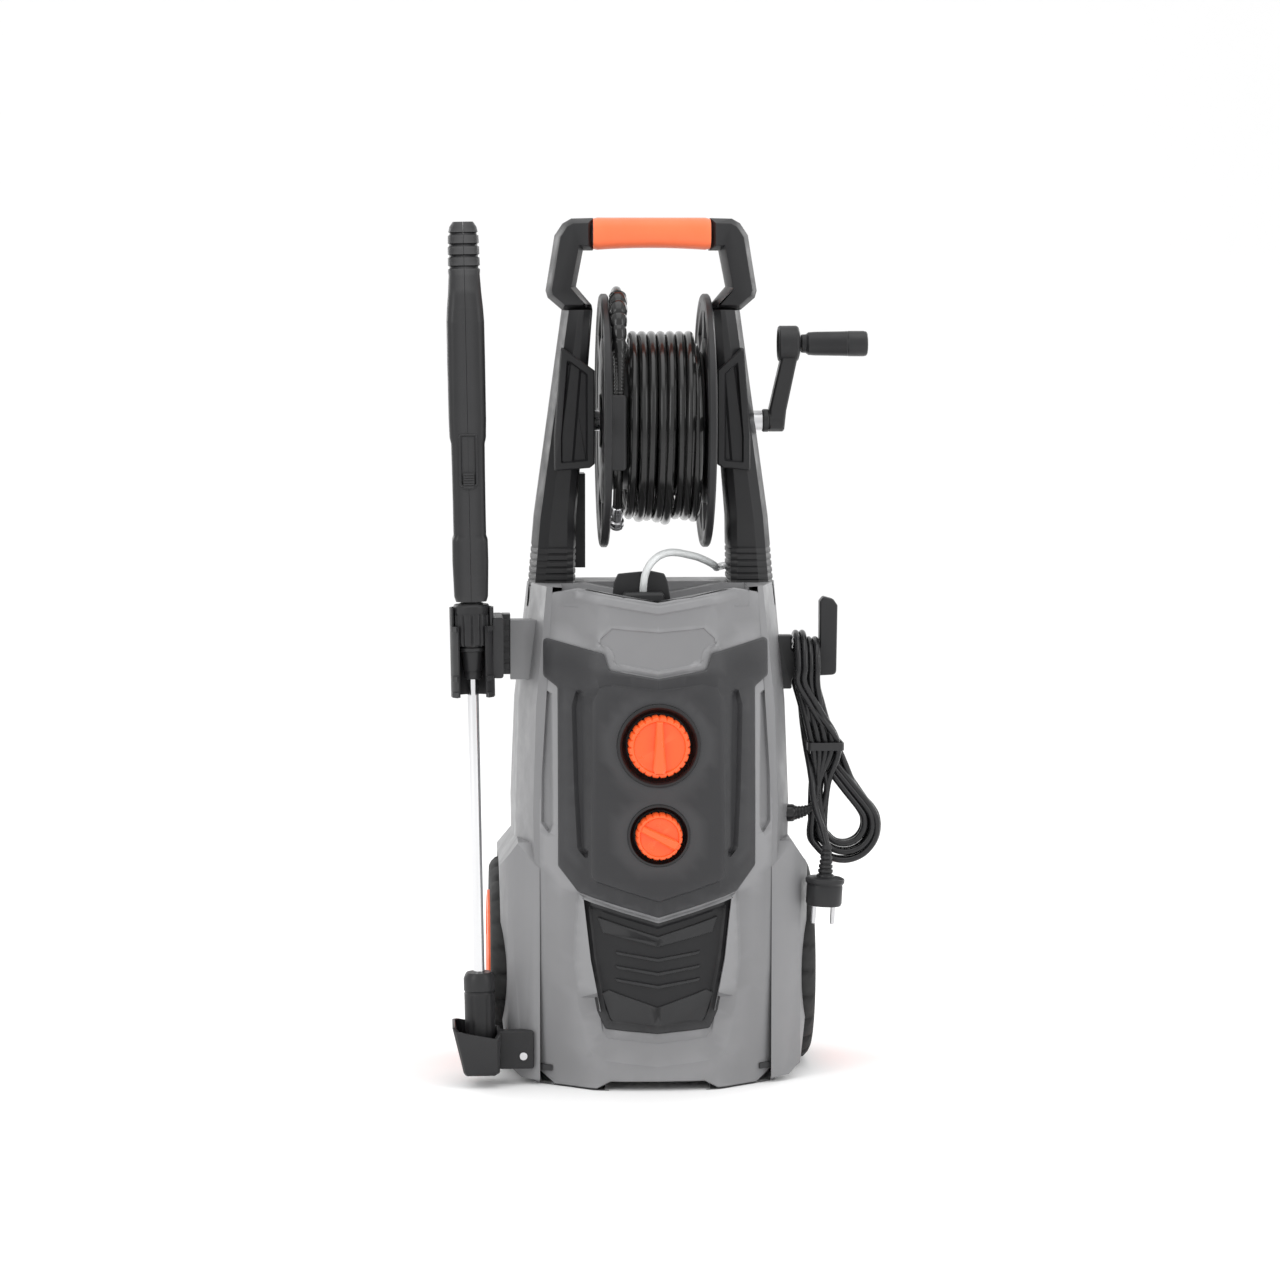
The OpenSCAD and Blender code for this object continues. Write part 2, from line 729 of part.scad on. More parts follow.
// The folded lead as one flat bundle: it hangs on the hook, narrows at its tie and swells into loops below
hank_outline = [
    [144, 438], [150, 450], [164, 450], [168.4, 440], [168.4, 426], [168.4, 396], [176, 370], [188, 335],
    [204, 305], [222, 262], [226, 240], [218, 222], [202, 214], [184, 220], [170, 236], [170, 292],
    [155, 292], [154, 335], [147, 380], [144, 400]];
hank_loop = [[186, 296], [190, 300], [200, 270], [200, 244], [190, 240], [182, 262], [180, 285]];
module lead_hank() {
    color("#0c0c0c") difference() {
        along_y(-34, 18) polygon(hank_outline);
        box([140, hook_y0 - gap, 380], [190, hook_y1 + gap, hook_top + gap]);
        box([169 - gap, hook_y0 - gap, 400], [190, hook_y1 + gap, 490]);
        along_y(-40, 30) polygon(hank_loop);
    }
}
module at_plug() {
    translate([172, -60, 234]) rotate([0, 3, 0]) children();
}
module plug_body() {
    color("#151515") at_plug() difference() {
        union() {
            translate([0, 0, -31]) cylinder(r = 7.8, h = 31);
            translate([0, 0, -38]) cylinder(r = 19.5, h = 7.5);
            translate([0, 0, -60]) cylinder(r = 18, h = 24);
        }
        for (s = [-1, 1]) translate([s * 9.5, 0, -61]) cylinder(r = 2.4, h = 12);
        for (s = [-1, 1]) translate([0, s * 18, -61]) cylinder(r = 3, h = 18);
    }
}
module plug_pins() {
    color(steel) at_plug() for (s = [-1, 1]) translate([s * 9.5, 0, -79]) cylinder(r = 2.4, h = 30);
}

// ---- wheels ----
rim_r = 70;
tyre_in = wheel_out - tyre_w;
module tyre() {
    difference() {
        turned_x([
            [rim_r, tyre_in], [rim_r, wheel_out], [wheel_r - 10, wheel_out], [wheel_r - 2, wheel_out - 6],
            [wheel_r, wheel_out - 12], [wheel_r, tyre_in + 12], [wheel_r - 2, tyre_in + 6],
            [wheel_r - 10, tyre_in]]);
        for (k = [0 : 23])
            rotate([15 * k, 0, 0]) box([tyre_in - 1, -2, wheel_r - 3], [tyre_in + 10, 2, wheel_r + 2]);
        for (k = [0 : 23])
            rotate([15 * k + 7.5, 0, 0])
                box([wheel_out - 10, -2, wheel_r - 3], [wheel_out + 1, 2, wheel_r + 2]);
    }
}
module rim() {
    difference() {
        turned_x([
            [axle_r + run_gap, tyre_in - 2], [22, tyre_in - 2], [22, tyre_in + 8], [rim_r - 6, tyre_in + 8],
            [rim_r - 6, tyre_in + 1], [rim_r, tyre_in + 1],
            [rim_r, wheel_out + 2], [rim_r - 8, wheel_out + 3],
            [rim_r - 12, wheel_out - 4], [28, wheel_out - 4], [24, wheel_out + 3], [0, wheel_out + 3],
            [0, wheel_out - 2], [axle_r + run_gap, wheel_out - 2]]);
        for (k = [0 : 5])
            rotate([60 * k, 0, 0]) rotate([0, 90, 0]) translate([0, 0, tyre_in - 1])
                rotate_extrude(angle = 40) translate([31, 0]) square([23, tyre_w + 2]);
    }
}
module tyre_left() {
    color("#1a1a1a") at_axle() on_side(-1) tyre();
}
module tyre_right() {
    color("#1a1a1a") at_axle() tyre();
}
module rim_left() {
    color(orange) at_axle() on_side(-1) rim();
}
module rim_right() {
    color(orange) at_axle() rim();
}
module wheel_axle() {
    color(steel) at_axle() rod_x(axle_r, 3 - wheel_out, wheel_out - 3);
}

// ---- detergent tank, filler and suction tube ----
module detergent_tank() {
    color("#d8d8d4") difference() {
        box([-60, -94, 385], [40, -42, 471]);
        box([-57, -91, 388], [37, -45, 468]);
        at_filler() translate([0, 0, 460]) cylinder(r = 14.6, h = 20);
    }
}
cap_z = body_top - 18;
module at_filler() {
    translate([-12.5, -76, 0]) children();
}
module filler_cap() {
    color(satin_black) difference() {
        union() {
            at_filler() translate([0, 0, cap_z - 15]) cylinder(r = 14.5, h = 20);
            box([-33, -92, cap_z], [8, -70, cap_z + 14]);
            along_y(-70, -67) polygon([
                [-43, cap_z], [16, cap_z], [9, body_top + 13], [-5, body_top + 16], [-37, body_top + 13]]);
        }
        at_filler() translate([0, 0, cap_z + 4]) cylinder(d = suction_d, h = 20);
    }
}
suction_route = [
    [-12.5, -76, cap_z + 4], [-12.5, -76, 486], [-12, -79.5, 498], [-10, -78, 508], [-5, -75, 517],
    [3, -69, 524], [13, -61, 527], [23, -52, 526.5], [33, -42, 524], [43, -31, 521], [52, -19, 517],
    [59, -6, 513], [64, 8, 509.5], [67, 22, 506.5], [71, 35, 506.5], [78, 43.5, 507], [86, 49, 504],
    [92, 52.3, 497.5], [95, 54, 489], [96, 54, 478]];
module suction_tube() {
    color("#e8e8e8") swept_tube(suction_route, suction_d);
}

// ---- motor and pump ----
// All stand on one vertical axis: fan, lower bearing, stator, upper bearing, wobble plate, pistons, head
shaft_pump_r = 8;
module on_motor_axis() {
    translate([0, pump_y, 0]) children();
}
module motor_stator() {
    color("#5a5f66") on_motor_axis() difference() {
        translate([0, 0, 20]) cylinder(r = motor_r, h = 146);
        translate([0, 0, 19]) cylinder(r = motor_r - 3, h = 22);
        translate([0, 0, 46]) cylinder(r = 36, h = 112);
        translate([0, 0, 40]) cylinder(r = 16, h = 127);
        for (k = [0 : 7]) rotate([0, 0, 45 * k]) box([motor_r - 10, -5, 24], [motor_r + 1, 5, 36]);
    }
}
module motor_rotor() {
    color("#8a6b4f") on_motor_axis() union() {
        translate([0, 0, 22]) cylinder(r = shaft_pump_r, h = 168);
        translate([0, 0, 60]) cylinder(r = 35, h = 84);
        translate([0, 0, 24]) cylinder(r = 18, h = 12);
        for (k = [0 : 7]) rotate([0, 0, 45 * k]) box([10, -1, 24], [56, 1, 36]);
        translate([0, 0, 186]) rotate([8, 0, 0]) translate([0, 0, -5]) cylinder(r = 33, h = 10);
    }
}
module bearing_ring(z) {
    translate([0, 0, z]) difference() {
        cylinder(r = 16, h = 6);
        translate([0, 0, -1]) cylinder(r = shaft_pump_r + run_gap, h = 8);
    }
}
module motor_bearings() {
    color(steel) on_motor_axis() {
        bearing_ring(40);
        bearing_ring(160);
    }
}
module pump_housing() {
    color("#9a9ea3") on_motor_axis() difference() {
        translate([0, 0, 166]) cylinder(r = pump_r, h = 70);
        translate([0, 0, 171]) cylinder(r = 40, h = 66);
        translate([0, 0, 165]) cylinder(r = shaft_pump_r + 1, h = 8);
    }
}
piston_ring = 23;
module pistons_at() {
    on_motor_axis() for (k = [0 : 2]) rotate([0, 0, 120 * k + 30]) translate([piston_ring, 0, 0]) children();
}
module pump_pistons() {
    color(steel) pistons_at() union() {
        translate([0, 0, 204]) cylinder(r = 7, h = 52);
        translate([0, 0, 204]) cylinder(r = 10, h = 5);
    }
}
module pump_head() {
    color("#b08d57") difference() {
        union() {
            on_motor_axis() translate([0, 0, 236]) cylinder(r = pump_r, h = 12);
            box([-36, pump_y - 34, 248], [36, pump_y + 42, 282]);
            translate([0, 0, pressure_z]) rod_y(9, valve_front, pump_y);
        }
        pistons_at() translate([0, 0, 230]) cylinder(r = 7.05, h = 30);
        translate([0, 0, pressure_z]) rod_y(5 + run_gap, valve_front - 1, valve_front + 4);
        translate([0, 0, pressure_z]) rod_y(8, pump_y + 20, 60);
    }
}
module water_inlet() {
    color("#b08d57") translate([0, 0, pressure_z]) difference() {
        union() {
            rod_y(8, pump_y + 20, 60);
            rod_y(13.2, 60, 126);
            rod_y(16, 86, 96);
        }
        rod_y(6, pump_y, 130);
    }
}
// Screws that hold the shells together, and the one that holds the cup
module case_screws() {
    color(steel) {
        for (p = screw_spots) translate([p[0], 0, p[1]]) union() {
            rod_y(2, split_y - 12, split_y + 20.5);
            rod_y(screw_head_r, split_y + 20, split_y + 23);
        }
        translate([cup_screw_x, 0, cup_screw_z]) union() {
            rod_y(cup_screw_r, cup_plate_y, -56);
            rod_y(screw_head_r, cup_plate_y - 2, cup_plate_y);
        }
    }
}

placed() front_shell();
placed() rear_shell();
placed() base_chassis();
placed() control_panel();
placed() grille_cover();
placed() power_bezel();
placed() pressure_bezel();
placed() power_knob();
placed() pressure_knob();
placed() column_left();
placed() column_right();
placed() handle_yoke();
placed() handle_grip();
placed() bearing_cover_left();
placed() bearing_cover_right();
placed() nozzle_holder();
placed() reel_flange_left();
placed() reel_flange_right();
placed() reel_drum();
placed() reel_shaft();
placed() hose_inlet_block();
placed() crank_arm();
placed() crank_grip();
placed() hose_winding();
placed() hose_sleeve();
placed() hose_connector();
placed() lance_clip();
placed() lance_cup();
placed() gun_half_left();
placed() gun_half_right();
placed() gun_trigger();
placed() lock_slide();
placed() collar_nut();
placed() lance_adapter();
placed() lance_tube();
placed() spray_nozzle();
placed() cable_hook();
placed() cable_gland();
placed() mains_lead();
placed() lead_hank();
placed() plug_body();
placed() plug_pins();
placed() tyre_left();
placed() rim_left();
placed() tyre_right();
placed() rim_right();
placed() wheel_axle();
placed() detergent_tank();
placed() filler_cap();
placed() suction_tube();
placed() motor_stator();
placed() motor_rotor();
placed() motor_bearings();
placed() pump_housing();
placed() pump_pistons();
placed() pump_head();
placed() water_inlet();
placed() riser_pipe();
placed() power_switch();
placed() case_screws();
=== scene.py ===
import json
import math

import bmesh
import bpy
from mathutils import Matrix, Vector
from mathutils.geometry import delaunay_2d_cdt


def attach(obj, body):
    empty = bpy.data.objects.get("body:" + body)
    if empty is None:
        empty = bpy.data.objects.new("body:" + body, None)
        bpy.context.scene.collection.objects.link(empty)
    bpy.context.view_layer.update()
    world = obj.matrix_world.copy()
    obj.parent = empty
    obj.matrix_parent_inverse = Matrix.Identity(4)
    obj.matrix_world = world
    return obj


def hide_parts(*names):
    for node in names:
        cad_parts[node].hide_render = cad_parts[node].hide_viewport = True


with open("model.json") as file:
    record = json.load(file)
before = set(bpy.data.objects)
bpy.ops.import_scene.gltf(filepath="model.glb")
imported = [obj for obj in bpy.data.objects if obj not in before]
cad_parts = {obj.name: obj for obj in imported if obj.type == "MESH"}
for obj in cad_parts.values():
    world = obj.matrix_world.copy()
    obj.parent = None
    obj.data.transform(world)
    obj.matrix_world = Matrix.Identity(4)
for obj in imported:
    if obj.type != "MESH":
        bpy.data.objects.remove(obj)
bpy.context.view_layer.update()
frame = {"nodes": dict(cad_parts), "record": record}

NODES = frame["nodes"]
MX = -8.0                      # the machine's middle plane, in mm, in the shared frame
MM = 0.001


def W(x, y, z):
    """A point of the machine's own frame in mm, as metres in the shared frame."""
    return Vector(((x + MX) * MM, y * MM, z * MM))


# ---------------------------------------------------------------- camera
def add_camera():
    target = Vector((-0.0205, -0.020, 0.437))
    azimuth, elevation, distance = math.radians(-3.0), math.radians(5.0), 4.0
    forward = Vector((
        -math.sin(azimuth) * math.cos(elevation),
        math.cos(azimuth) * math.cos(elevation),
        -math.sin(elevation)))
    data = bpy.data.cameras.new("camera")
    data.lens, data.sensor_width = 112.5, 36.0
    data.clip_end = 50
    cam = bpy.data.objects.new("camera", data)
    bpy.context.scene.collection.objects.link(cam)
    cam.location = target - forward * distance
    cam.rotation_euler = forward.to_track_quat("-Z", "Y").to_euler()
    bpy.context.scene.camera = cam


add_camera()


# ---------------------------------------------------------------- materials
def new_material(name):
    m = bpy.data.materials.new(name)
    m.use_nodes = True
    nodes, links = m.node_tree.nodes, m.node_tree.links
    return m, nodes, links, nodes["Principled BSDF"]


def noise(nodes, links, coord, scale, detail=3.0, stretch=None):
    n = nodes.new("ShaderNodeTexNoise")
    n.inputs["Scale"].default_value = scale
    n.inputs["Detail"].default_value = detail
    if stretch:
        m = nodes.new("ShaderNodeMapping")
        m.inputs["Scale"].default_value = stretch
        links.new(coord, m.inputs["Vector"])
        links.new(m.outputs["Vector"], n.inputs["Vector"])
    else:
        links.new(coord, n.inputs["Vector"])
    return n.outputs["Fac"]


def ramp(nodes, links, fac, stops):
    r = nodes.new("ShaderNodeValToRGB")
    el = r.color_ramp.elements
    while len(el) < len(stops):
        el.new(0.5)
    for e, (pos, col) in zip(el, stops):
        e.position = pos
        e.color = (*col, 1) if len(col) == 3 else col
    links.new(fac, r.inputs["Fac"])
    return r.outputs["Color"]


def finish_material(name, colour, rough, metallic=0.0, vary=0.12, grain=900, grain_h=0.00003,
                    wear=0.25, coat=0.0, stretch=None, rough_vary=0.1, transmission=0.0,
                    ior=1.5, sheen=0.0):
    """Moulded or machined surface: colour drift, scuffs in the roughness, fine grain, paler edges."""
    m, nodes, links, bsdf = new_material(name)
    coord = nodes.new("ShaderNodeTexCoord").outputs["Object"]
    dark = [c * (1 - vary) for c in colour]
    light = [min(1, c * (1 + vary)) for c in colour]
    broad = noise(nodes, links, coord, 14, 4, stretch)
    base = ramp(nodes, links, broad, [(0.3, dark), (0.7, light)])
    if wear > 0:
        geo = nodes.new("ShaderNodeNewGeometry")
        edge = ramp(nodes, links, geo.outputs["Pointiness"], [(0.505, (0, 0, 0)), (0.56, (1, 1, 1))])
        mix = nodes.new("ShaderNodeMix")
        mix.data_type = "RGBA"
        amount = nodes.new("ShaderNodeMath")
        amount.operation = "MULTIPLY"
        amount.inputs[1].default_value = wear
        links.new(edge, amount.inputs[0])
        links.new(amount.outputs[0], mix.inputs["Factor"])
        links.new(base, mix.inputs["A"])
        mix.inputs["B"].default_value = (*[min(1, c * 1.8 + 0.04) for c in colour], 1)
        base = mix.outputs["Result"]
    links.new(base, bsdf.inputs["Base Color"])
    scuff = noise(nodes, links, coord, 55, 5, stretch)
    rr = ramp(nodes, links, scuff, [(0.3, (rough - rough_vary,) * 3), (0.75, (rough + rough_vary,) * 3)])
    links.new(rr, bsdf.inputs["Roughness"])
    fine = noise(nodes, links, coord, grain, 2, stretch)
    bump = nodes.new("ShaderNodeBump")
    bump.inputs["Strength"].default_value = 0.35
    bump.inputs["Distance"].default_value = grain_h
    links.new(fine, bump.inputs["Height"])
    links.new(bump.outputs["Normal"], bsdf.inputs["Normal"])
    bsdf.inputs["Metallic"].default_value = metallic
    if metallic == 0 and max(colour) < 0.04:
        bsdf.inputs["Specular IOR Level"].default_value = 0.3
    bsdf.inputs["IOR"].default_value = ior
    bsdf.inputs["Coat Weight"].default_value = coat
    bsdf.inputs["Coat Roughness"].default_value = 0.2
    bsdf.inputs["Transmission Weight"].default_value = transmission
    bsdf.inputs["Sheen Weight"].default_value = sheen
    return m


FINISHES = {   # colour, roughness and what else differs
    "housing_grey": ((0.185, 0.185, 0.19), 0.46, dict(vary=0.04, grain=1400, wear=0.3)),
    "panel_charcoal": ((0.030, 0.030, 0.032), 0.44, dict(vary=0.07, grain=1400, wear=0.3)),
    "frame_black": ((0.012, 0.012, 0.013), 0.42, dict(vary=0.1, grain=1200, wear=0.35)),
    "gun_black": ((0.014, 0.014, 0.015), 0.40, dict(vary=0.1, grain=1300, wear=0.3)),
    "knob_orange": ((0.93, 0.105, 0.018), 0.34, dict(vary=0.05, grain=1200, wear=0.2)),
    "grip_orange": ((0.93, 0.16, 0.05), 0.62,
                    dict(vary=0.05, grain=700, grain_h=0.00006, wear=0.1, sheen=0.2)),
    "rim_orange": ((0.88, 0.12, 0.025), 0.38, dict(vary=0.06, wear=0.2)),
    "tyre_black": ((0.018, 0.018, 0.018), 0.75, dict(vary=0.2, grain=500, grain_h=0.0001, wear=0.3)),
    "hose_black": ((0.012, 0.012, 0.012), 0.20,
                   dict(vary=0.2, grain=600, grain_h=0.00002, wear=0, coat=0.25, rough_vary=0.06)),
    "lead_black": ((0.013, 0.013, 0.014), 0.26,
                   dict(vary=0.2, grain=800, grain_h=0.00002, wear=0, coat=0.15, rough_vary=0.06)),
    "lance_chrome": ((0.72, 0.72, 0.73), 0.14,
                     dict(metallic=1, vary=0.04, grain=300, grain_h=0.00001, wear=0, stretch=(8, 8, 0.4),
                          rough_vary=0.05)),
    "steel": ((0.56, 0.56, 0.57), 0.3, dict(metallic=1, vary=0.06, grain=900, wear=0.1)),
    "brass": ((0.66, 0.45, 0.19), 0.3, dict(metallic=1, vary=0.1, grain=700, wear=0.1)),
    "cast_aluminium": ((0.55, 0.55, 0.57), 0.5,
                       dict(metallic=1, vary=0.08, grain=300, grain_h=0.0002, wear=0.1)),
    "copper_windings": ((0.42, 0.19, 0.09), 0.4,
                        dict(metallic=0.7, vary=0.2, grain=400, grain_h=0.0002, wear=0.1,
                             stretch=(1, 1, 12))),
    "tank_white": ((0.76, 0.76, 0.74), 0.45, dict(vary=0.03, wear=0)),
    "tube_clear": ((0.84, 0.86, 0.86), 0.2, dict(vary=0.03, wear=0, transmission=0.35, rough_vary=0.05)),
}
MAT = {name: finish_material(name, colour, rough, **more)
       for name, (colour, rough, more) in FINISHES.items()}



# ---------------------------------------------------------------- mesh helpers
def shade(me, angle=35):
    me.shade_smooth()
    me.set_sharp_from_angle(angle=math.radians(angle))


REPLACED = set()    # CAD nodes that a piece stands for


def piece(name, verts, faces, slot, body, replaces=(), bevel=0.0, segments=2, angle=35):
    """A mesh piece from points in mm of the machine's frame."""
    me = bpy.data.meshes.new(name)
    me.from_pydata([W(*v) for v in verts], [], faces)
    bm = bmesh.new()
    bm.from_mesh(me)
    bmesh.ops.remove_doubles(bm, verts=bm.verts, dist=1e-6)
    bmesh.ops.recalc_face_normals(bm, faces=bm.faces)
    bm.to_mesh(me)
    bm.free()
    obj = bpy.data.objects.new(name, me)
    bpy.context.scene.collection.objects.link(obj)
    if bevel:
        b = obj.modifiers.new("edges", "BEVEL")
        b.width, b.segments, b.limit_method = bevel * MM, segments, "ANGLE"
        b.angle_limit = math.radians(28)
        b.harden_normals = True
        b.use_clamp_overlap = True
    shade(me, 180 if bevel else angle)
    me.materials.append(MAT[slot])
    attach(obj, body)
    if replaces:
        names = [replaces] if isinstance(replaces, str) else replaces
        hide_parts(*names)
        REPLACED.update(names)
    return obj


class Shape:
    """Collects verts and faces of several closed parts that make one piece."""

    def __init__(self):
        self.v, self.f = [], []

    def add(self, verts, faces):
        k = len(self.v)
        self.v += [tuple(p) for p in verts]
        self.f += [[i + k for i in f] for f in faces]
        return self

    def loft(self, rings, closed=False, caps=True):
        n = len(rings[0])
        k = len(rings)
        faces = []
        for i in range(k if closed else k - 1):
            a, b = i * n, ((i + 1) % k) * n
            faces += [[a + j, a + (j + 1) % n, b + (j + 1) % n, b + j] for j in range(n)]
        if caps and not closed:
            faces += [list(range(n))[::-1], list(range((k - 1) * n, k * n))]
        return self.add([p for r in rings for p in r], faces)

    def lathe(self, profile, origin, axis="x", segments=64, twist=None, frame_of=None):
        """profile is (radius, along) pairs, open or closed; ends at radius 0 are capped by a point ring."""
        rings = []
        for r, h in profile:
            ring = []
            for s in range(segments):
                t = 2 * math.pi * s / segments
                rr = max(r, 0.02) * (twist(t, r, h) if twist else 1)
                c, d = rr * math.cos(t), rr * math.sin(t)
                if frame_of:
                    ring.append(frame_of(c, d, h))
                else:
                    o = origin
                    ring.append({"x": (o[0] + h, o[1] + c, o[2] + d),
                                 "y": (o[0] + c, o[1] + h, o[2] + d),
                                 "z": (o[0] + c, o[1] + d, o[2] + h)}[axis])
            rings.append(ring)
        return self.loft(rings)


def stacked(*sections):
    """Rings from (outline in x and z, y) pairs."""
    return [[(x, y, z) for x, z in outline] for outline, y in sections]


def mirrored(half):
    return list(half) + [(-x, z) for x, z in reversed(half) if abs(x) > 0.01]


def fillet(pts, r, n=4):
    """Rounds every corner of a closed outline; r is one number or one per corner."""
    out, k = [], len(pts)
    for i in range(k):
        p, q, s = Vector(pts[i - 1]), Vector(pts[i]), Vector(pts[(i + 1) % k])
        rr = r[i] if isinstance(r, (list, tuple)) else r
        a, b = (p - q), (s - q)
        la, lb = a.length, b.length
        a.normalize()
        b.normalize()
        ang = a.angle(b) if la > 0 and lb > 0 else math.pi
        if rr <= 0 or ang > math.radians(172):
            out.append(tuple(q))
            continue
        t = min(rr / math.tan(ang / 2), la * 0.45, lb * 0.45)
        p0, p1 = q + a * t, q + b * t
        for j in range(n + 1):
            f = j / n
            out.append(tuple(p0 * (1 - f) ** 2 + q * 2 * f * (1 - f) + p1 * f * f))
    return out


def inset(pts, d):
    """Offset of a closed outline inwards by d (mitred)."""
    k = len(pts)
    area = sum(pts[i - 1][0] * pts[i][1] - pts[i][0] * pts[i - 1][1] for i in range(k))
    sgn = 1 if area > 0 else -1
    out = []
    for i in range(k):
        p, q, s = Vector(pts[i - 1]), Vector(pts[i]), Vector(pts[(i + 1) % k])
        e1, e2 = (q - p).normalized(), (s - q).normalized()
        n1, n2 = Vector((-e1.y, e1.x)) * sgn, Vector((-e2.y, e2.x)) * sgn
        m = n1 + n2
        m = m / max(0.25, m.length_squared / 2) if m.length > 1e-6 else n1
        out.append(tuple(q + m * d))
    return out


def densify(pts, step):
    out = []
    for i in range(len(pts)):
        a, b = Vector(pts[i]), Vector(pts[(i + 1) % len(pts)])
        n = max(1, math.ceil((b - a).length / step))
        out += [tuple(a.lerp(b, j / n)) for j in range(n)]
    return out


def inside(p, poly):
    x, y, hit = p[0], p[1], False
    for i in range(len(poly)):
        (x1, y1), (x2, y2) = poly[i - 1], poly[i]
        if (y1 > y) != (y2 > y) and x < (x2 - x1) * (y - y1) / (y2 - y1) + x1:
            hit = not hit
    return hit


def smooth_path(points, per=6, closed=False):
    """Catmull-Rom through the points."""
    out, k = [], len(points)
    rng = range(k if closed else k - 1)
    for i in rng:
        p0 = Vector(points[(i - 1) % k] if closed or i > 0 else points[0])
        p1, p2 = Vector(points[i]), Vector(points[(i + 1) % k])
        p3 = Vector(points[(i + 2) % k] if closed or i + 2 < k else points[-1])
        for j in range(per):
            t = j / per
            out.append(0.5 * ((2 * p1) + (p2 - p0) * t + (2 * p0 - 5 * p1 + 4 * p2 - p3) * t * t
                              + (3 * p1 - p0 - 3 * p2 + p3) * t ** 3))
    if not closed:
        out.append(Vector(points[-1]))
    return out


# ---------------------------------------------------------------- cords
def path_length(pts):
    return sum((b - a).length for a, b in zip(pts, pts[1:]))


def cord_curve(name, pts_mm, diameter, slot, body, replaces):
    data = bpy.data.curves.new(name, "CURVE")
    data.dimensions = "3D"
    data.bevel_depth = diameter / 2
    data.bevel_resolution = 5
    data.use_fill_caps = True
    sp = data.splines.new("POLY")
    pts = [W(*p) for p in pts_mm]
    sp.points.add(len(pts) - 1)
    for q, p in zip(sp.points, pts):
        q.co = (*p, 1)
    sp.use_smooth = True
    obj = bpy.data.objects.new(name, data)
    bpy.context.scene.collection.objects.link(obj)
    data.materials.append(MAT[slot])
    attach(obj, body)
    if replaces:
        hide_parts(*replaces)
    REPLACED.update(replaces)
    return obj, pts


REEL = (0.0, 15.0, 655.0)
HOSE_D, LEAD_D, SUCTION_D = 0.0094, 0.0064, 0.0075
SLEEVE_X = -35.5


def reel_point(x, r, phi):
    """phi runs from the top, forward over the front, in degrees."""
    a = math.radians(phi)
    return (x, REEL[1] - r * math.sin(a), REEL[2] + r * math.cos(a))


def hose_route():
    pts = []
    x0, x1, turns, per = -23.2, 42.6, 7, 48
    r1, r2 = 73.9, 84.2
    for i in range(turns * per + 1):
        pts.append(reel_point(x0 + (x1 - x0) * i / (turns * per), r1, 360 * i / per))
    for i in range(1, per // 2):
        f = i / (per / 2)
        pts.append(reel_point(x1, r1 + (r2 - r1 + 13) * (3 * f * f - 2 * f ** 3), 360 * i / per))
    sags = [9, 15, 6, 13, 17, 8, 14, 10]
    sway = [3.5, -3.0, 4.0, -3.5, 3.0, -2.0, 2.5, 0]
    total = turns * per
    for i in range(total + 1):
        phi = 180 + 360 * i / per
        k = phi / 360.0
        a, b = int(k) % 8, (int(k) + 1) % 8
        f = k - int(k)
        f = f * f * (3 - 2 * f)
        low = (1 - math.cos(math.radians(phi))) / 2
        sag = sags[a] * (1 - f) + sags[b] * f
        sw = sway[a] * (1 - f) + sway[b] * f
        x = x1 - (x1 - x0) * i / total + sw * low * low * (1 if 0.1 < i / total < 0.94 else 0.2)
        pts.append(reel_point(x, r2 + 1 + sag * low ** 2, phi))
    lead = [(-26, 104, 235), (-33, 108, 270), (SLEEVE_X, 114, 300), (SLEEVE_X, 121, 330),
            (SLEEVE_X, 126, 350), (SLEEVE_X, 130, 366)]
    ctrl = [pts[-3], pts[-1]] + [reel_point(*q) for q in lead]
    for y, z in [(-33, 129), (-51, 122.5), (-66, 109.5), (-77, 91), (-83, 68), (-83, 44), (-80, 14),
                 (-78, -10),
                 (-73, -34), (-64, -55), (-53, -72), (-44, -84.5)]:
        ctrl.append((SLEEVE_X, REEL[1] + y, REEL[2] + z))
    tail = smooth_path(ctrl, 8)
    pts = pts[:-1] + [tuple(p) for p in tail[9:]]
    return pts


hose, hose_pts = cord_curve("hose", hose_route(), HOSE_D, "hose_black", "reel", ("hose_winding",))
HOSE_LEN = path_length(hose_pts)
print("hose length", round(HOSE_LEN, 3))

LEAD_OUT = [(143.5, -20, 262), (149, -20, 262.3), (156, -19, 264.5), (161.5, -18, 269.5),
            (165, -17, 276.5), (166, -16, 284), (166, -15, 292)]
LEAD_IN = [(160, -28, 292), (160.5, -30.5, 283), (162, -36.5, 272), (165, -45, 260),
           (169, -54, 247.5), (172, -60, 234)]


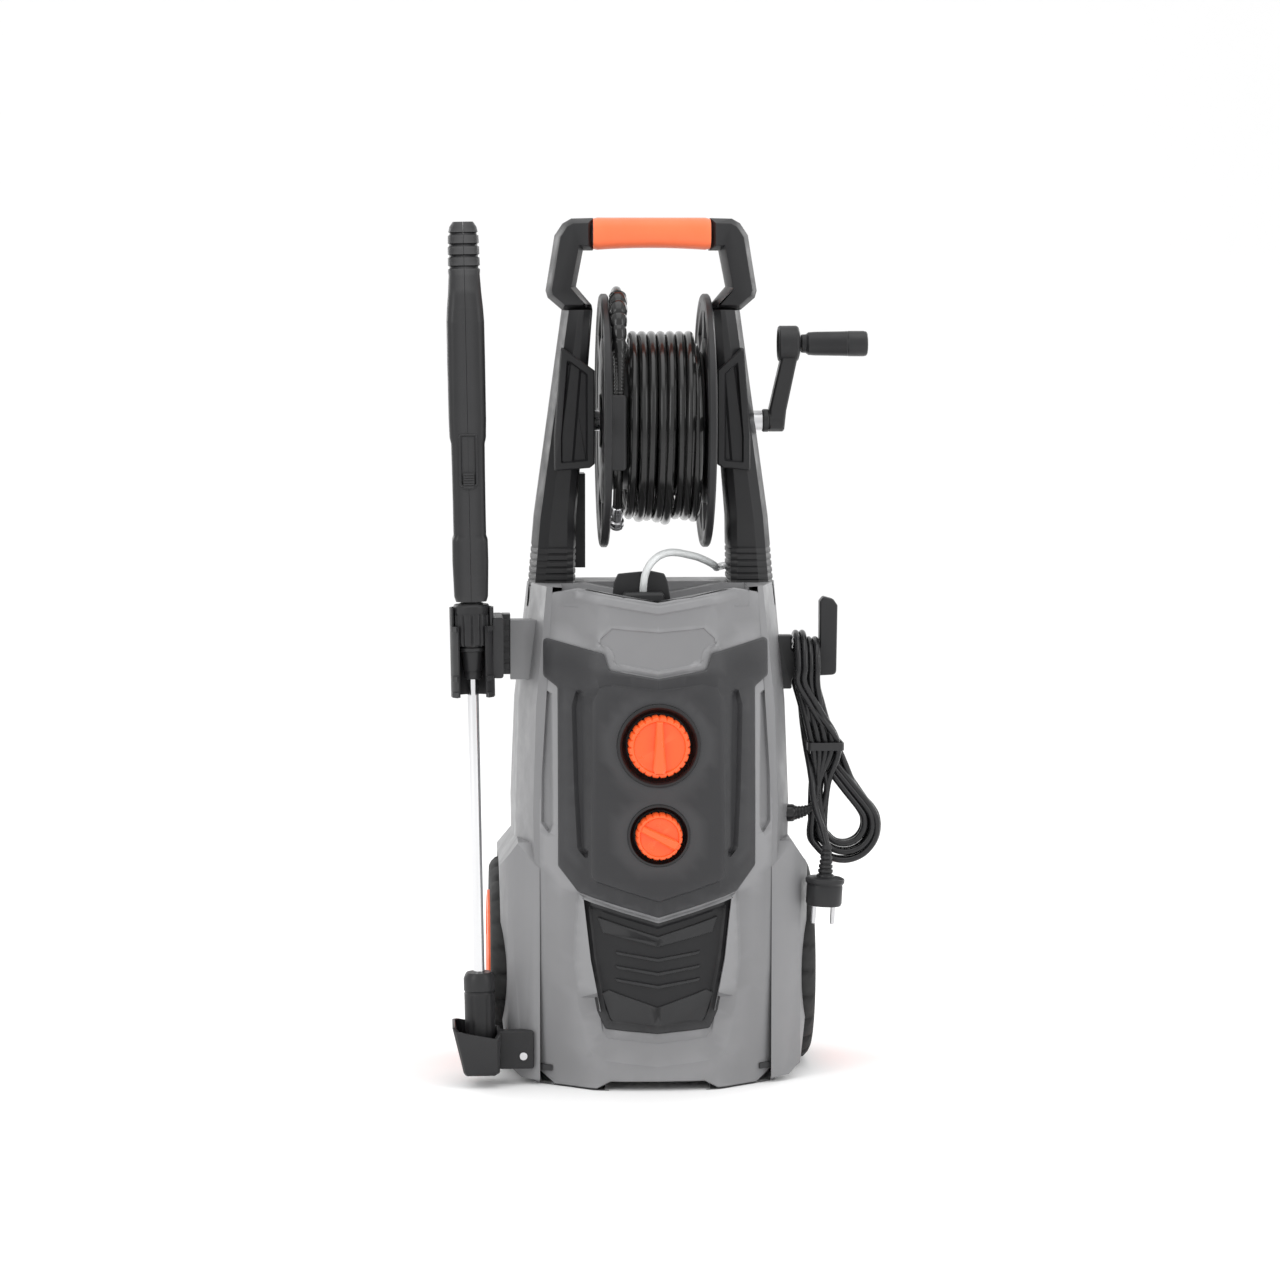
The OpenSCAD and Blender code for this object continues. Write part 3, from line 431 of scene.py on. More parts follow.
def lead_route():
    p = list(LEAD_OUT) + [(165, -16.5, 304), (163, -18.5, 317)]
    loops = 10
    for i in range(loops):
        c, k = i % 4, i // 4
        x = 145.6 + 6.5 * c
        half = 19.6 + 6.6 * k
        top = 428.6 + 6.6 * k
        t = 161 + 6.5 * (i % 5)
        row = i // 5
        yf, yb = -13.4 - 6.6 * (1 - row), 0.4 + 6.6 * row
        rad, by = 21 + 6.4 * (i % 3), (i // 3 - 1) * 6.7 - 4
        cx, cz = 194 + 1.5 * (i % 2), 250 - 2 * (i % 3)
        p += [(t, yf, 329), (x * .55 + t * .45, -half * .6 + yf * .4, 366),
              (x, -half * .95, top - half - 16)]
        for a in range(-90, 91, 30):
            w = math.radians(a)
            p.append((x, half * math.sin(w), top - half * (1 - math.cos(w))))
        p.append((x, half * .95, top - half - 16))
        if i == loops - 1:
            break
        p += [(x * .55 + t * .45, half * .6 + yb * .4, 366), (t, yb, 329),
              (t * .4 + (cx + rad) * .6 - 4, by * .6 + yb * .4, 290)]
        for a in range(38, -173, -30):
            w = math.radians(a)
            p.append((cx + rad * math.cos(w), by, cz + rad * math.sin(w)))
        p.append((t * .5 + (cx - rad) * .5, by * .5 + yf * .5, 290))
    p += [(153, 25, 372), (154, 14, 351), (156, -2, 328), (158.5, -18, 308)] + LEAD_IN
    return [tuple(q) for q in smooth_path(p, 6)]


lead, lead_pts = cord_curve("mains_cord", lead_route(), LEAD_D, "lead_black", "root",
                            ("mains_lead", "lead_hank"))
LEAD_LEN = path_length(lead_pts)
print("lead length", round(LEAD_LEN, 3))

SUCTION = [(-12.5, -76, 480), (-12.5, -76, 486), (-12, -79.5, 498), (-10, -78, 508), (-5, -75, 517),
           (3, -69, 524), (13, -61, 527), (23, -52, 526.5), (33, -42, 524), (43, -31, 521),
           (52, -19, 517), (59, -6, 513), (64, 8, 509.5), (67, 22, 506.5), (71, 35, 506.5),
           (78, 43.5, 507), (86, 49, 504), (92, 52.3, 497.5), (95, 54, 489), (96, 54, 478)]
suction, suction_pts = cord_curve(
    "suction_hose", [tuple(q) for q in smooth_path(SUCTION, 6)], SUCTION_D, "tube_clear", "root",
    ("suction_tube",))
SUCTION_LEN = path_length(suction_pts)
print("suction length", round(SUCTION_LEN, 3))


# ---------------------------------------------------------------- front of the housing
def plan_half(half, front, back):
    return [(0, -front), (0.25 * half, 1 - front), (0.46 * half, 8 - front), (0.86 * half, 50 - front),
            (0.97 * half, 108 - front), (half, back - 50)]


LEVELS = [(0, 0.975, 120, 100), (120, 0.975, 128, 112), (274, 1, 128, 108), (376, 0.972, 124, 96),
          (494, 0.883, 114, 64)]


def raw_front(x, z):
    x = abs(x)
    z = min(max(z, 0.0), 494.0)
    for (z0, s0, f0, b0), (z1, s1, f1, b1) in zip(LEVELS, LEVELS[1:]):
        if z <= z1:
            t = (z - z0) / (z1 - z0)
            pts = plan_half(141 * (s0 + (s1 - s0) * t), f0 + (f1 - f0) * t, b0 + (b1 - b0) * t)
            for (xa, ya), (xb, yb) in zip(pts, pts[1:]):
                if x <= xb:
                    return ya + (yb - ya) * (x - xa) / (xb - xa)
            return pts[-1][1]
    return -114.0


def front_y(x, z):
    """Front face of the housing, its facet edges slightly rounded."""
    return (raw_front(x, z) * 2 + raw_front(x - 2.5, z) + raw_front(x + 2.5, z) + raw_front(x,
        z - 4) + raw_front(x, z + 4)) / 6


def relief(name, outline, features, slot, replaces=(), depth=0.0, thick=4.0, step=11.0, edge=1.2,
           body="root", holes=(), angle=32):
    """A skin on the housing's front. outline and features are (x, z) outlines; each feature is
    (outline, [(inset, depth), ...]); depth is behind the housing's face, negative stands proud."""
    loops = [(densify(outline, 7), depth + edge), (densify(inset(outline, edge), 7), depth)]
    regions = []
    for pts, steps in features:
        last = None
        for ins, dep in steps:
            last = densify(inset(pts, ins) if ins else pts, 7)
            loops.append((last, dep))
        regions.append((pts, last, steps[-1][1]))

    def depth_at(p):
        d = depth
        for outer, last, dd in regions:
            if inside(p, last):
                d = dd
            elif inside(p, outer):
                return None
        return d

    co, dep, edges = [], [], []
    for pts, d in loops:
        k = len(co)
        co += [Vector(p) for p in pts]
        dep += [d] * len(pts)
        edges += [(k + i, k + (i + 1) % len(pts)) for i in range(len(pts))]
    for hole in holes:
        pts = [Vector(p) for p in densify(hole, 5)]
        k = len(co)
        co += pts
        dep += [depth_at(p) or depth for p in pts]
        edges += [(k + i, k + (i + 1) % len(pts)) for i in range(len(pts))]
    xs, zs = [p.x for p in co], [p.y for p in co]
    fixed = list(co)
    inner = inset(outline, edge + 2)
    z = min(zs) + step / 2
    while z < max(zs):
        x = -math.floor(-min(xs) / step) * step
        while x < max(xs):
            p = Vector((x, z))
            if inside(p, inner):
                d = depth_at(p)
                if d is not None and min((q - p).length_squared for q in fixed) > (step * 0.38) ** 2:
                    co.append(p)
                    dep.append(d)
            x += step
        z += step
    vs, _, fs, ov, _, _ = delaunay_2d_cdt(co, edges, [], 0, 1e-5)
    depth_of = []
    for i, p in enumerate(vs):
        src = ov[i]
        if src:
            depth_of.append(max(dep[j] for j in src) if len(src) > 1 else dep[src[0]])
        else:
            j = min(range(len(co)), key=lambda q: (co[q] - p).length_squared)
            depth_of.append(dep[j])
    keep = []
    for f in fs:
        c = sum((vs[i] for i in f), Vector((0, 0))) / len(f)
        if inside(c, loops[0][0]) and not any(inside(c, h) for h in holes):
            keep.append(list(f))
    n = len(vs)
    verts = [(p.x, front_y(p.x, p.y) + d, p.y) for p, d in zip(vs, depth_of)]
    verts += [(v[0], v[1] + thick, v[2]) for v in verts]
    count = {}
    for f in keep:
        for a, b in zip(f, f[1:] + f[:1]):
            count[(a, b)] = 1
    faces = list(keep) + [[i + n for i in reversed(f)] for f in keep]
    for (a, b) in list(count):
        if (b, a) not in count:
            faces.append([b, a, a + n, b + n])
    used = sorted({i for f in faces for i in f})
    remap = {old: new for new, old in enumerate(used)}
    return piece(name, [verts[i] for i in used], [[remap[i] for i in f] for f in faces], slot, body,
                 replaces=replaces, angle=angle)


def z_half(z):
    for (z0, s0, *_), (z1, s1, *_) in zip(LEVELS, LEVELS[1:]):
        if z <= z1:
            return 141 * (s0 + (s1 - s0) * (z - z0) / (z1 - z0))
    return 141 * 0.883


def copy_of(node, name, slot, body="root", bevel=1.5, angle=30, cut=None):
    """The CAD node's shape as a new piece: coplanar triangles joined, edges rounded."""
    src = NODES[node]
    bm = bmesh.new()
    bm.from_mesh(src.data)
    bmesh.ops.remove_doubles(bm, verts=bm.verts, dist=2e-5)
    if cut:
        cut(bm)
    bmesh.ops.dissolve_limit(bm, angle_limit=math.radians(1.5), verts=bm.verts, edges=bm.edges)
    me = bpy.data.meshes.new(name)
    bm.to_mesh(me)
    bm.free()
    obj = bpy.data.objects.new(name, me)
    bpy.context.scene.collection.objects.link(obj)
    b = obj.modifiers.new("edges", "BEVEL")
    b.width, b.segments, b.limit_method = bevel * MM, 3, "ANGLE"
    b.angle_limit = math.radians(angle)
    b.harden_normals = True
    shade(me, 180)
    me.materials.append(MAT[slot])
    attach(obj, body)
    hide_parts(node)
    REPLACED.add(node)
    return obj


FACE_X = 117.0      # half width of the separate face skin at its widest


def face_edge(z):
    return FACE_X * z_half(z) / 141.0


def cut_face(bm):
    """Opens the front between the face skin's edges."""
    doomed = []
    for s in (-1, 1):
        top, mid = W(s * (face_edge(494) - 2), 0, 494), W(s * (face_edge(274) - 2), 0, 274)
        direction = (top - mid).normalized()
        normal = direction.cross(Vector((0, 1, 0)))
        for co, no in ((mid, normal), (mid, Vector((1, 0, 0))), (mid, Vector((0, 0, 1)))):
            bmesh.ops.bisect_plane(bm, geom=bm.verts[:] + bm.edges[:] + bm.faces[:], dist=1e-6, plane_co=co,
                                   plane_no=no)
    for f in bm.faces:
        c = f.calc_center_median()
        x, y, z = c.x / MM - MX, c.y / MM, c.z / MM
        if abs(x) < face_edge(max(z, 274)) - 2 + 0.01 and y < front_y(x,
            z) + 9 and 0.5 < z < 493 and y < -50:
            doomed.append(f)
    bmesh.ops.delete(bm, geom=doomed, context="FACES")


copy_of("front_shell", "front_shell_body", "housing_grey", bevel=2.2, cut=cut_face)

PANEL = mirrored([(0, 173.5), (78, 197), (97.3, 221), (97.3, 397), (111, 407), (111, 445), (53, 432),
                  (48, 416), (0, 407.5)])
GRILLE = mirrored([(0, 55), (52, 60), (60, 78), (70, 130), (77.5, 195.5), (0, 172)])
PANEL_R = fillet(PANEL, 5)
FACE = mirrored([(0, 9), (46, 9), (60, 1), (100, 1), (FACE_X, 14), (FACE_X, 120), (FACE_X, 274),
                 (face_edge(376), 376), (face_edge(486), 488), (77, 494), (0, 481)])
DISH = mirrored([(0, 24), (62, 31), (74, 52), (84, 130), (81, 200), (40, 186), (0, 174)])


def dagger(s):
    pts = [(s * 102, 390), (s * 109.5, 394), (s * 112.5, 330), (s * 113.5, 262), (s * 105, 250),
           (s * 101, 262)]
    return fillet(pts if s < 0 else pts[::-1], [2, 2, 8, 3, 4, 3])


SHIELD = mirrored([(0, 408.5), (46, 417), (51, 433), (62, 436), (62, 449), (47, 463), (0, 459)])
lip = mirrored([(0, 469), (82, 483), (82, 490.5), (77, 492), (0, 478.5)])
relief("front_face", FACE, [
    (DISH, [(0, 0), (3.5, 2.2), (20, 9), (21.5, 10.5)]),
    (dagger(1), [(0, 0), (2.6, 4.5)]),
    (dagger(-1), [(0, 0), (2.6, 4.5)]),
    (fillet(SHIELD, 4), [(0, 0), (3.5, -2.2), (6, -2.2), (7, -1.2)]),
    (fillet(lip, 2), [(0, 0), (2.0, -1.6)]),
], "housing_grey", thick=7, step=12, holes=[inset(PANEL_R, 4), inset(fillet(GRILLE, 3), 4)])


# ---------------------------------------------------------------- control panel and grille
CENTRE = mirrored([(0, 189), (60, 208), (66, 214), (66, 384), (58, 400), (45, 402.5), (0, 397)])


def groove(s):
    pts = [(s * 68.5, 228), (s * 79, 240), (s * 82, 300), (s * 84, 380), (s * 79, 398), (s * 70, 392),
           (s * 68.5, 330)]
    return fillet(pts if s < 0 else pts[::-1], 6)


relief("panel_face", PANEL_R, [
    (groove(1), [(0, -4), (4.5, 1.6)]),
    (groove(-1), [(0, -4), (4.5, 1.6)]),
    (fillet(CENTRE, 5), [(0, -4), (1.3, -5.6), (2.2, -5.6)]),
], "panel_charcoal", replaces="control_panel", depth=-4, thick=6, step=10, edge=1.6,
    holes=[[(41 * math.cos(t * math.pi / 24), 343 + 41 * math.sin(t * math.pi / 24)) for t in range(48)],
           [(31 * math.cos(t * math.pi / 24), 255 + 31 * math.sin(t * math.pi / 24)) for t in range(48)]])


relief("grille_face", fillet(inset(GRILLE, 0.6), 3), [
    (fillet(inset(GRILLE, 8), 3), [(0, 8), (3, 11)]),
], "frame_black", replaces="grille_cover", depth=7.5, thick=4, step=9, edge=1.2)
ribs = Shape()


def strip(outline, proud, back):
    """A raised strip that follows the grille's face."""
    pts = densify(outline, 6)
    rings = [[(p[0], front_y(p[0], p[1]) + back, p[1]) for p in pts],
             [(p[0], front_y(p[0], p[1]) + proud, p[1]) for p in pts]]
    ribs.loft(rings)


for z in (101, 114, 128):
    for s in (-1, 1):
        band = [(0, z), (s * 40, z + 7.5), (s * 42, z + 10.5), (0, z + 3.2)]
        strip(band, 8.4, 12)
for s in (-1, 1):
    strip([(0, 143), (s * 54, 157), (s * 59, 172), (0, 153)], 8.6, 12)
    strip([(0, 59), (s * 40, 62), (s * 47, 72), (s * 55, 96), (s * 48, 99.5), (0, 82)], 8.8, 12)
piece("grille_ribs", ribs.v, ribs.f, "frame_black", "root", bevel=0.7)


# ---------------------------------------------------------------- dials
def dial(node, name, cz, r, body, angle, ribs_n):
    s = Shape()

    def scallop(t, rr, h):
        return 1 - 0.055 * max(0, math.cos(ribs_n * t)) ** 6 if rr > r * 0.84 else 1

    front = -147.0
    prof = [(r * 0.15, -126), (r * 0.99, -126), (r, -129), (r * 0.985, front + 3), (r * 0.93, front),
            (r * 0.84, front - 0.6), (r * 0.80, front + 1.4), (r * 0.2, front + 1.9), (0.02, front + 1.9)]
    s.lathe(prof, (0, 0, cz), "y", 144, scallop)
    a = math.radians(angle)

    def turned(x, z):
        return (x * math.cos(a) + z * math.sin(a), cz - x * math.sin(a) + z * math.cos(a))

    bar = [(-3.2, r * 0.84), (3.2, r * 0.84), (r * 0.21, -r * 0.7), (r * 0.15, -r * 0.86),
           (-r * 0.15, -r * 0.86), (-r * 0.21, -r * 0.7)]
    small = [(x * 0.62, z * 0.95) for x, z in bar]
    rings = []
    for outline, y in ((bar, front + 3), (bar, front - 2.2), (small, front - 4.8)):
        rings.append([(turned(x, z)[0], y, turned(x, z)[1]) for x, z in outline])
    s.loft(rings)
    return piece(name, s.v, s.f, "knob_orange", body, replaces=node, bevel=0.5)


dial("power_knob", "power_dial_cap", 343, 30.5, "power_dial", 0, 24)
dial("pressure_knob", "pressure_dial_cap", 255, 23, "pressure_dial", -63, 20)


def bezel_ring(node, name, cz, r, seat):
    s = Shape()
    s.lathe([(seat + 0.5, -120), (seat + 0.5, -126.5), (seat + 3.5, -130), (seat + 4.5, -133.5),
             (r - 3, -135.2), (r - 0.6, -134.6),
             (r, -133), (r + 0.2, -120)], (0, 0, cz), "y", 96)
    s.lathe([(0.02, -121), (seat + 1.5, -121), (seat + 1.5, -123), (0.02, -123)], (0, 0, cz), "y", 64)
    return piece(name, s.v, s.f, "frame_black", "root", replaces=node, bevel=0.4)


bezel_ring("power_bezel", "power_dish", 343, 41, 31.5)
bezel_ring("pressure_bezel", "pressure_dish", 255, 31, 24)


# ---------------------------------------------------------------- columns, yoke and grip
def column_ring(z, outer, inner, s, grow=0.0):
    pts = [(outer + grow, 36 + grow), (outer + grow, 6), (outer - 6, -9), (outer - 16, -16 - grow),
           (inner + 9, -16 - grow),
           (inner + 2.5, -12), (inner - grow, -6), (inner - grow, 36 + grow)]
    return [(s * x, y, z) for x, y in pts]


def lerp_levels(z):
    lv = [(470, 125, 77), (560, 117.3, 75.8), (766, 88.7, 59)]
    for a, b in zip(lv, lv[1:]):
        if z <= b[0]:
            t = (z - a[0]) / (b[0] - a[0])
            return a[1] + (b[1] - a[1]) * t, a[2] + (b[2] - a[2]) * t
    return lv[-1][1:]


for side, s in (("left", -1), ("right", 1)):
    sh = Shape()
    rings = [column_ring(z, *lerp_levels(z), s) for z in (470, 489)]
    for k in range(6):      # moulded ribs above the foot
        z = 490 + 6.6 * k
        for dz, g in ((0, 0), (0.8, 0.9), (4.6, 0.9), (5.4, 0)):
            rings.append(column_ring(z + dz, *lerp_levels(z + dz), s, g - 0.9 if g == 0 else 0))
    rings += [column_ring(z, *lerp_levels(z), s) for z in (531, 560, 600, 650, 700, 740, 766)]
    if s < 0:
        rings = [r[::-1] for r in rings]
    sh.loft(rings)
    piece(f"column_{side}_shell", sh.v, sh.f, "frame_black", "root", replaces=f"column_{side}", bevel=0.8)
    # bearing cover with a raised border and a sunken field
    inner = 57.5 if s < 0 else 65
    cover = [(91, 730), (inner, 706), (inner, 613), (inner + 5, 609), (98, 606), (98, 640)]
    cover = [(s * x, z) for x, z in cover]
    sh = Shape()
    rings = [[(x, y, z) for x, z in fillet(inset(cover, d), 2)]
             for d, y in ((0, 38), (0, -17), (1.2, -19), (6.8, -19), (7.5, -18), (9, -14.5))]
    sh.loft(rings)
    piece(f"bearing_cover_{side}_face", sh.v, sh.f, "frame_black", "root", replaces=f"bearing_cover_{side}",
          bevel=0.6)

sh = Shape()
for s in (-1, 1):
    leg = [(s * x, z) for x, z in [(58.5, 857), (80, 856.5), (88, 852), (96, 840), (105, 785), (103, 778),
                                   (89, 766), (59, 766),
                                   (60, 771), (75.5, 789), (68.5, 825), (58.5, 825)]]
    rings = [[(x, y, z) for x, z in o] for o, y in
             ((inset(leg, 4), 31), (leg, 26), (leg, -4), (inset(leg, 5), -13.5), (inset(leg, 6.5), -14))]
    sh.loft(rings)
bar = [(-7 + 3, 830), (22, 830), (25, 833), (25, 850), (22, 853), (-4, 853), (-7, 850), (-7, 833)]
sh.loft([[(x, y, z) for y, z in bar] for x in (-60, 60)])
piece("handle_frame", sh.v, sh.f, "frame_black", "root", replaces="handle_yoke", bevel=1.4, segments=3)

sh = Shape()
rings = []
for i in range(25):
    x = -58.6 + 117.2 * i / 24
    u = abs(x) / 58.6
    arch = 2.2 * (1 - u * u)
    end = 1.2 if u > 0.985 else 0
    ring = []
    for k in range(28):
        t = 2 * math.pi * k / 28
        c, d = math.cos(t), math.sin(t)
        y = 8 + (25 - end) * abs(c) ** 0.62 * (1 if c >= 0 else -1)
        z = 841.5 + (16.2 - end - (arch if d < 0 else 0)) * abs(d) ** 0.62 * (1 if d >= 0 else -1)
        ring.append((x, y, z))
    rings.append(ring)
sh.loft(rings)
piece("soft_grip", sh.v, sh.f, "grip_orange", "root", replaces="handle_grip", bevel=0.5, angle=60)


# ---------------------------------------------------------------- reel
def flange_piece(side, x0, out):
    sh = Shape()
    seg = 128
    o = (0, 15, 655)
    # ring with stepped rim, windows between spokes, raised hub; out is the outer face's direction
    xa, xb = (x0, x0 + 8) if out > 0 else (x0 + 8, x0)

    def X(t):
        return xa + (xb - xa) * t
    rim = [(111, X(0.25)), (111, X(0.75)), (114, X(0.8)), (119, X(0.8)), (121, X(1.0)), (125, X(1.0)),
           (127, X(0.8)),
           (127, X(0.2)), (125, X(0.0)), (121, X(0.0)), (119, X(0.22)), (114, X(0.22))]
    hub = [(10.2, X(0.0)), (10.2, X(1.0)), (26, X(1.0)), (28, X(0.8)), (78, X(0.8)), (83, X(0.72)),
           (83, X(0.28)), (78, X(0.2)), (28, X(0.2)), (26, X(0.0))]
    for prof in (rim, hub):
        rings = []
        for r, x in prof:
            rings.append([(x, o[1] + r * math.sin(2 * math.pi * k / seg),
                           o[2] + r * math.cos(2 * math.pi * k / seg)) for k in range(seg)])
        sh.loft(rings, closed=True)
    for k in range(8):
        a0 = math.radians(45 * k + 40)
        for da0, da1 in ((0, 10),):
            aa, ab = a0 + math.radians(da0), a0 + math.radians(da1)
            ring2 = [(82, aa), (112, aa), (112, (aa + ab) / 2), (112, ab), (82, ab), (82, (aa + ab) / 2)]
            rr = []
            for x in (X(0.27), X(0.73)):
                rr.append([(x, o[1] + r * math.sin(a), o[2] + r * math.cos(a)) for r, a in ring2])
            sh.loft(rr)
    piece(f"flange_{side}", sh.v, sh.f, "frame_black", "reel", replaces=f"reel_flange_{side}", bevel=0.5)


flange_piece("left", -51.5, -1)
flange_piece("right", 50.5, 1)

# ribbed sleeve: large round beads above, slim ribs below
sh = Shape()
sleeve_line = smooth_path([(SLEEVE_X, 15 + y, 655 + z) for y, z in
                           [(-82, 30), (-84, 58), (-80, 84), (-68, 108), (-50, 124)]], 30)
total = path_length(sleeve_line)


def tube_rings(line, radius, seg=24):
    rings, run = [], 0.0
    for i, p in enumerate(line):
        if i:
            run += (p - line[i - 1]).length
        d = (line[min(i + 1, len(line) - 1)] - line[max(i - 1, 0)]).normalized()
        side = d.cross(Vector((1, 0, 0)))
        side = side.normalized() if side.length > 0.1 else Vector((0, 1, 0))
        up = d.cross(side).normalized()
        r = radius(run)
        angles = [2 * math.pi * k / seg for k in range(seg)]
        rings.append([tuple(p + (side * math.cos(t) + up * math.sin(t)) * r) for t in angles])
    return rings


def sleeve_r(run):
    u = run / total
    base = 5.6 + (9.3 - 5.6) * min(1, max(0, (u - 0.15) / 0.7))
    if u < 0.32:
        return base - 0.5 + 0.5 * math.cos(run * 2 * math.pi / 3.4)
    pitch = 13.0
    ph = (run % pitch) / pitch
    return base * (0.80 + 0.20 * math.sqrt(max(0.0, 1 - (2 * ph - 1) ** 2)))


sh.loft(tube_rings(sleeve_line, sleeve_r))
sleeve = piece("bend_sleeve", sh.v, sh.f, "hose_black", "reel", replaces="hose_sleeve", angle=70)

sh = Shape()
tilt = math.radians(38)


def at_connector(c, d, h):
    """Frame of the connector: its axis rises from its open end."""
    y, z = d * math.cos(tilt) - h * math.sin(tilt), d * math.sin(tilt) + h * math.cos(tilt)
    return (SLEEVE_X + c, 15 - 28 + y, 655 - 105 + z)


sh.lathe([(3.0, 8), (3.0, 0), (6.4, 0), (7, 1), (7, 3.2), (6.2, 3.6), (6.2, 4.6), (7, 5), (7, 8.6),
          (5.4, 9.6), (5.2, 15), (6.0, 16),
          (6.0, 22), (5.4, 26), (4.4, 27), (4.4, 28), (0.02, 28), (0.02, 8)], None, segments=36,
          frame_of=at_connector)
connector = piece("hose_end", sh.v, sh.f, "steel", "reel", replaces="hose_connector", angle=30)

sh = Shape()
blk = [(-92, -46), (-92, 28), (-62, 28), (-58, -2), (-62, -46)]
blk = [(15 + y, 655 + z) for y, z in blk]
rings = []
for x, ins in ((-43.4, 0), (-30.5, 0), (-28.4, 2)):
    rings.append([(x, y, z) for y, z in (inset(blk, ins) if ins else blk)])
sh.loft(rings)
piece("inlet_block", sh.v, sh.f, "gun_black", "reel", replaces="hose_inlet_block", bevel=1.4, segments=3)

# crank
sh = Shape()
sh.lathe([(10.3, 112), (11.5, 113), (11.5, 118), (10.3, 119)], REEL, "x", 48)
o = REEL
sh.lathe([(0.02, 117.8), (10, 117.8), (11.2, 119), (11.2, 132.8), (10, 134), (0.02, 134)], o, "x", 48)
ring_o = (0, 15, 732)
sh.lathe([(14.6, 131), (14.6, 129.4), (15.4, 128), (16.6, 128), (18, 129.4), (18, 146.5), (16.6, 148.4),
          (11, 150), (0.02, 150),
          (0.02, 139), (13.6, 139)], ring_o, "x", 56)
arm_front = [(118, -9), (134, -9), (136, 10), (147, 62), (149, 70), (132, 70), (130, 60), (119, 12)]
arm_front = [(x, 655 + z) for x, z in arm_front]
sh.loft(stacked((inset(arm_front, 1.8), 25.5), (arm_front, 23), (arm_front, 7),
                (inset(arm_front, 1.8), 4.5)))
sh.lathe([(4, 149), (4, 211), (0.02, 212)], ring_o, "x", 24)
piece("crank_lever", sh.v, sh.f, "frame_black", "reel", replaces="crank_arm", bevel=0.8)
sh = Shape()
sh.lathe([(4.1, 151.2), (8.6, 151.2), (9.2, 152), (9.4, 156), (11.4, 158.5), (11.9, 165), (12.4, 196),
          (12.7, 197), (12.2, 197.8),
          (12.7, 198.6), (12.8, 214), (12.1, 217), (10.6, 218), (0.02, 218)], ring_o, "x", 56)
piece("crank_handle_grip", sh.v, sh.f, "gun_black", "crank_handle", replaces="crank_grip", bevel=0.3)


# ---------------------------------------------------------------- lance, gun and their holders
LEAN = math.radians(1.0)


def lance(x, y, z):
    """A point of the stored lance's frame in the machine's frame; z runs up the tube."""
    return (-173.5 + x * math.cos(LEAN) - z * math.sin(LEAN), -72 + y,
            20 + x * math.sin(LEAN) + z * math.cos(LEAN))


def lance_lathe(shape, profile, segments=56, twist=None):
    shape.lathe(profile, None, segments=segments, twist=twist, frame_of=lance)


sh = Shape()
lance_lathe(sh, [(4.6, 40), (5.5, 40), (5.5, 474), (4.6, 474)], 40)
piece("lance_pipe", sh.v, sh.f, "lance_chrome", "gun", replaces="lance_tube", angle=40)

sh = Shape()


def nozzle_flute(t, r, h):
    return 1 - 0.055 * (max(0, math.cos(6 * t)) ** 4) if 16 < h < 68 else 1


lance_lathe(sh, [(3, 4), (3, 0), (10.4, 0), (11, 1), (12.4, 9), (15.2, 15), (15.3, 17), (15.3, 40),
                 (15.4, 66), (15.4, 71), (14.6, 72.2),
                 (14.6, 73.2), (15.5, 74), (15.5, 86), (13.8, 90), (12.6, 92), (5.7, 92), (5.7, 40),
                 (3, 39)], 72, nozzle_flute)
piece("nozzle_body", sh.v, sh.f, "gun_black", "nozzle", replaces="spray_nozzle", bevel=0.4)

sh = Shape()
lance_lathe(sh, [(5.7, 384), (7.6, 384), (8.6, 386), (8.9, 392), (9.6, 393), (10.8, 404), (12, 413),
                 (12, 459), (10, 459.5), (10, 474), (5.7, 474)], 48)
lance_lathe(sh, [(12.4, 411.4), (13.6, 412), (13.6, 415.2), (12.4, 415.8)], 48)
piece("adapter_cone", sh.v, sh.f, "gun_black", "gun", replaces="lance_adapter", bevel=0.3)

sh = Shape()


def nut_flute(t, r, h):
    return 1 - 0.085 * (max(0, math.cos(12 * t)) ** 3) if r > 17 and h < 448 else 1


lance_lathe(sh, [(12.2, 417), (16.2, 417), (17.5, 418.6), (17.8, 421), (17.8, 447), (17.5, 449), (17.8, 450),
                 (17.8, 456), (16.6, 458), (12.2, 458)], 144, nut_flute)
piece("coupling_nut", sh.v, sh.f, "gun_black", "lance_nut", replaces="collar_nut", bevel=0.3)

# gun: rings up the body, each a rounded box; halves meet at x = 0
GUN = [  # height, front y, back y, half width, corner
    (461, -15, 17, 15.0, 7), (466, -16, 18, 16.6, 7), (486, -18, 20.5, 17.2, 7), (500, -18.4, 21, 17.6, 7),
    (522, -19, 21, 17.4, 7),
    (526, -18, 20, 16.0, 7), (560, -18.4, 20, 16.0, 7), (596, -18.6, 20, 16.2, 7),
    (616, -18.8, 20.6, 16.4, 7), (622, -19, 21, 17.8, 8),
    (640, -19, 21, 18.3, 8), (700, -19, 21, 18.5, 9), (735, -19, 21, 18.4, 9), (748, -17, 25, 17.6, 9),
    (764, -12, 32, 16.2, 9),
    (781, -2.5, 42, 15.2, 9), (784, 0, 44, 15.6, 9), (806, 17, 57, 15.4, 9), (820, 29, 64, 15.0, 9),
    (828, 37, 62, 13.4, 9), (833, 43, 56, 10, 6)]


def gun_ring(z, y0, y1, half, corner, s):
    """Half of a rounded-box section on the side s."""
    pts = []
    c = min(corner, half * 0.9, (y1 - y0) * 0.45)
    for k in range(7):
        t = math.pi / 2 * k / 6
        pts.append((half - c + c * math.sin(t), y0 + c - c * math.cos(t)))
    for k in range(7):
        t = math.pi / 2 * k / 6
        pts.append((half - c + c * math.cos(t), y1 - c + c * math.sin(t)))
    pts = [(0.15, y0)] + pts + [(0.15, y1)]
    ring = [lance(s * x, y, z) for x, y in pts]
    return ring


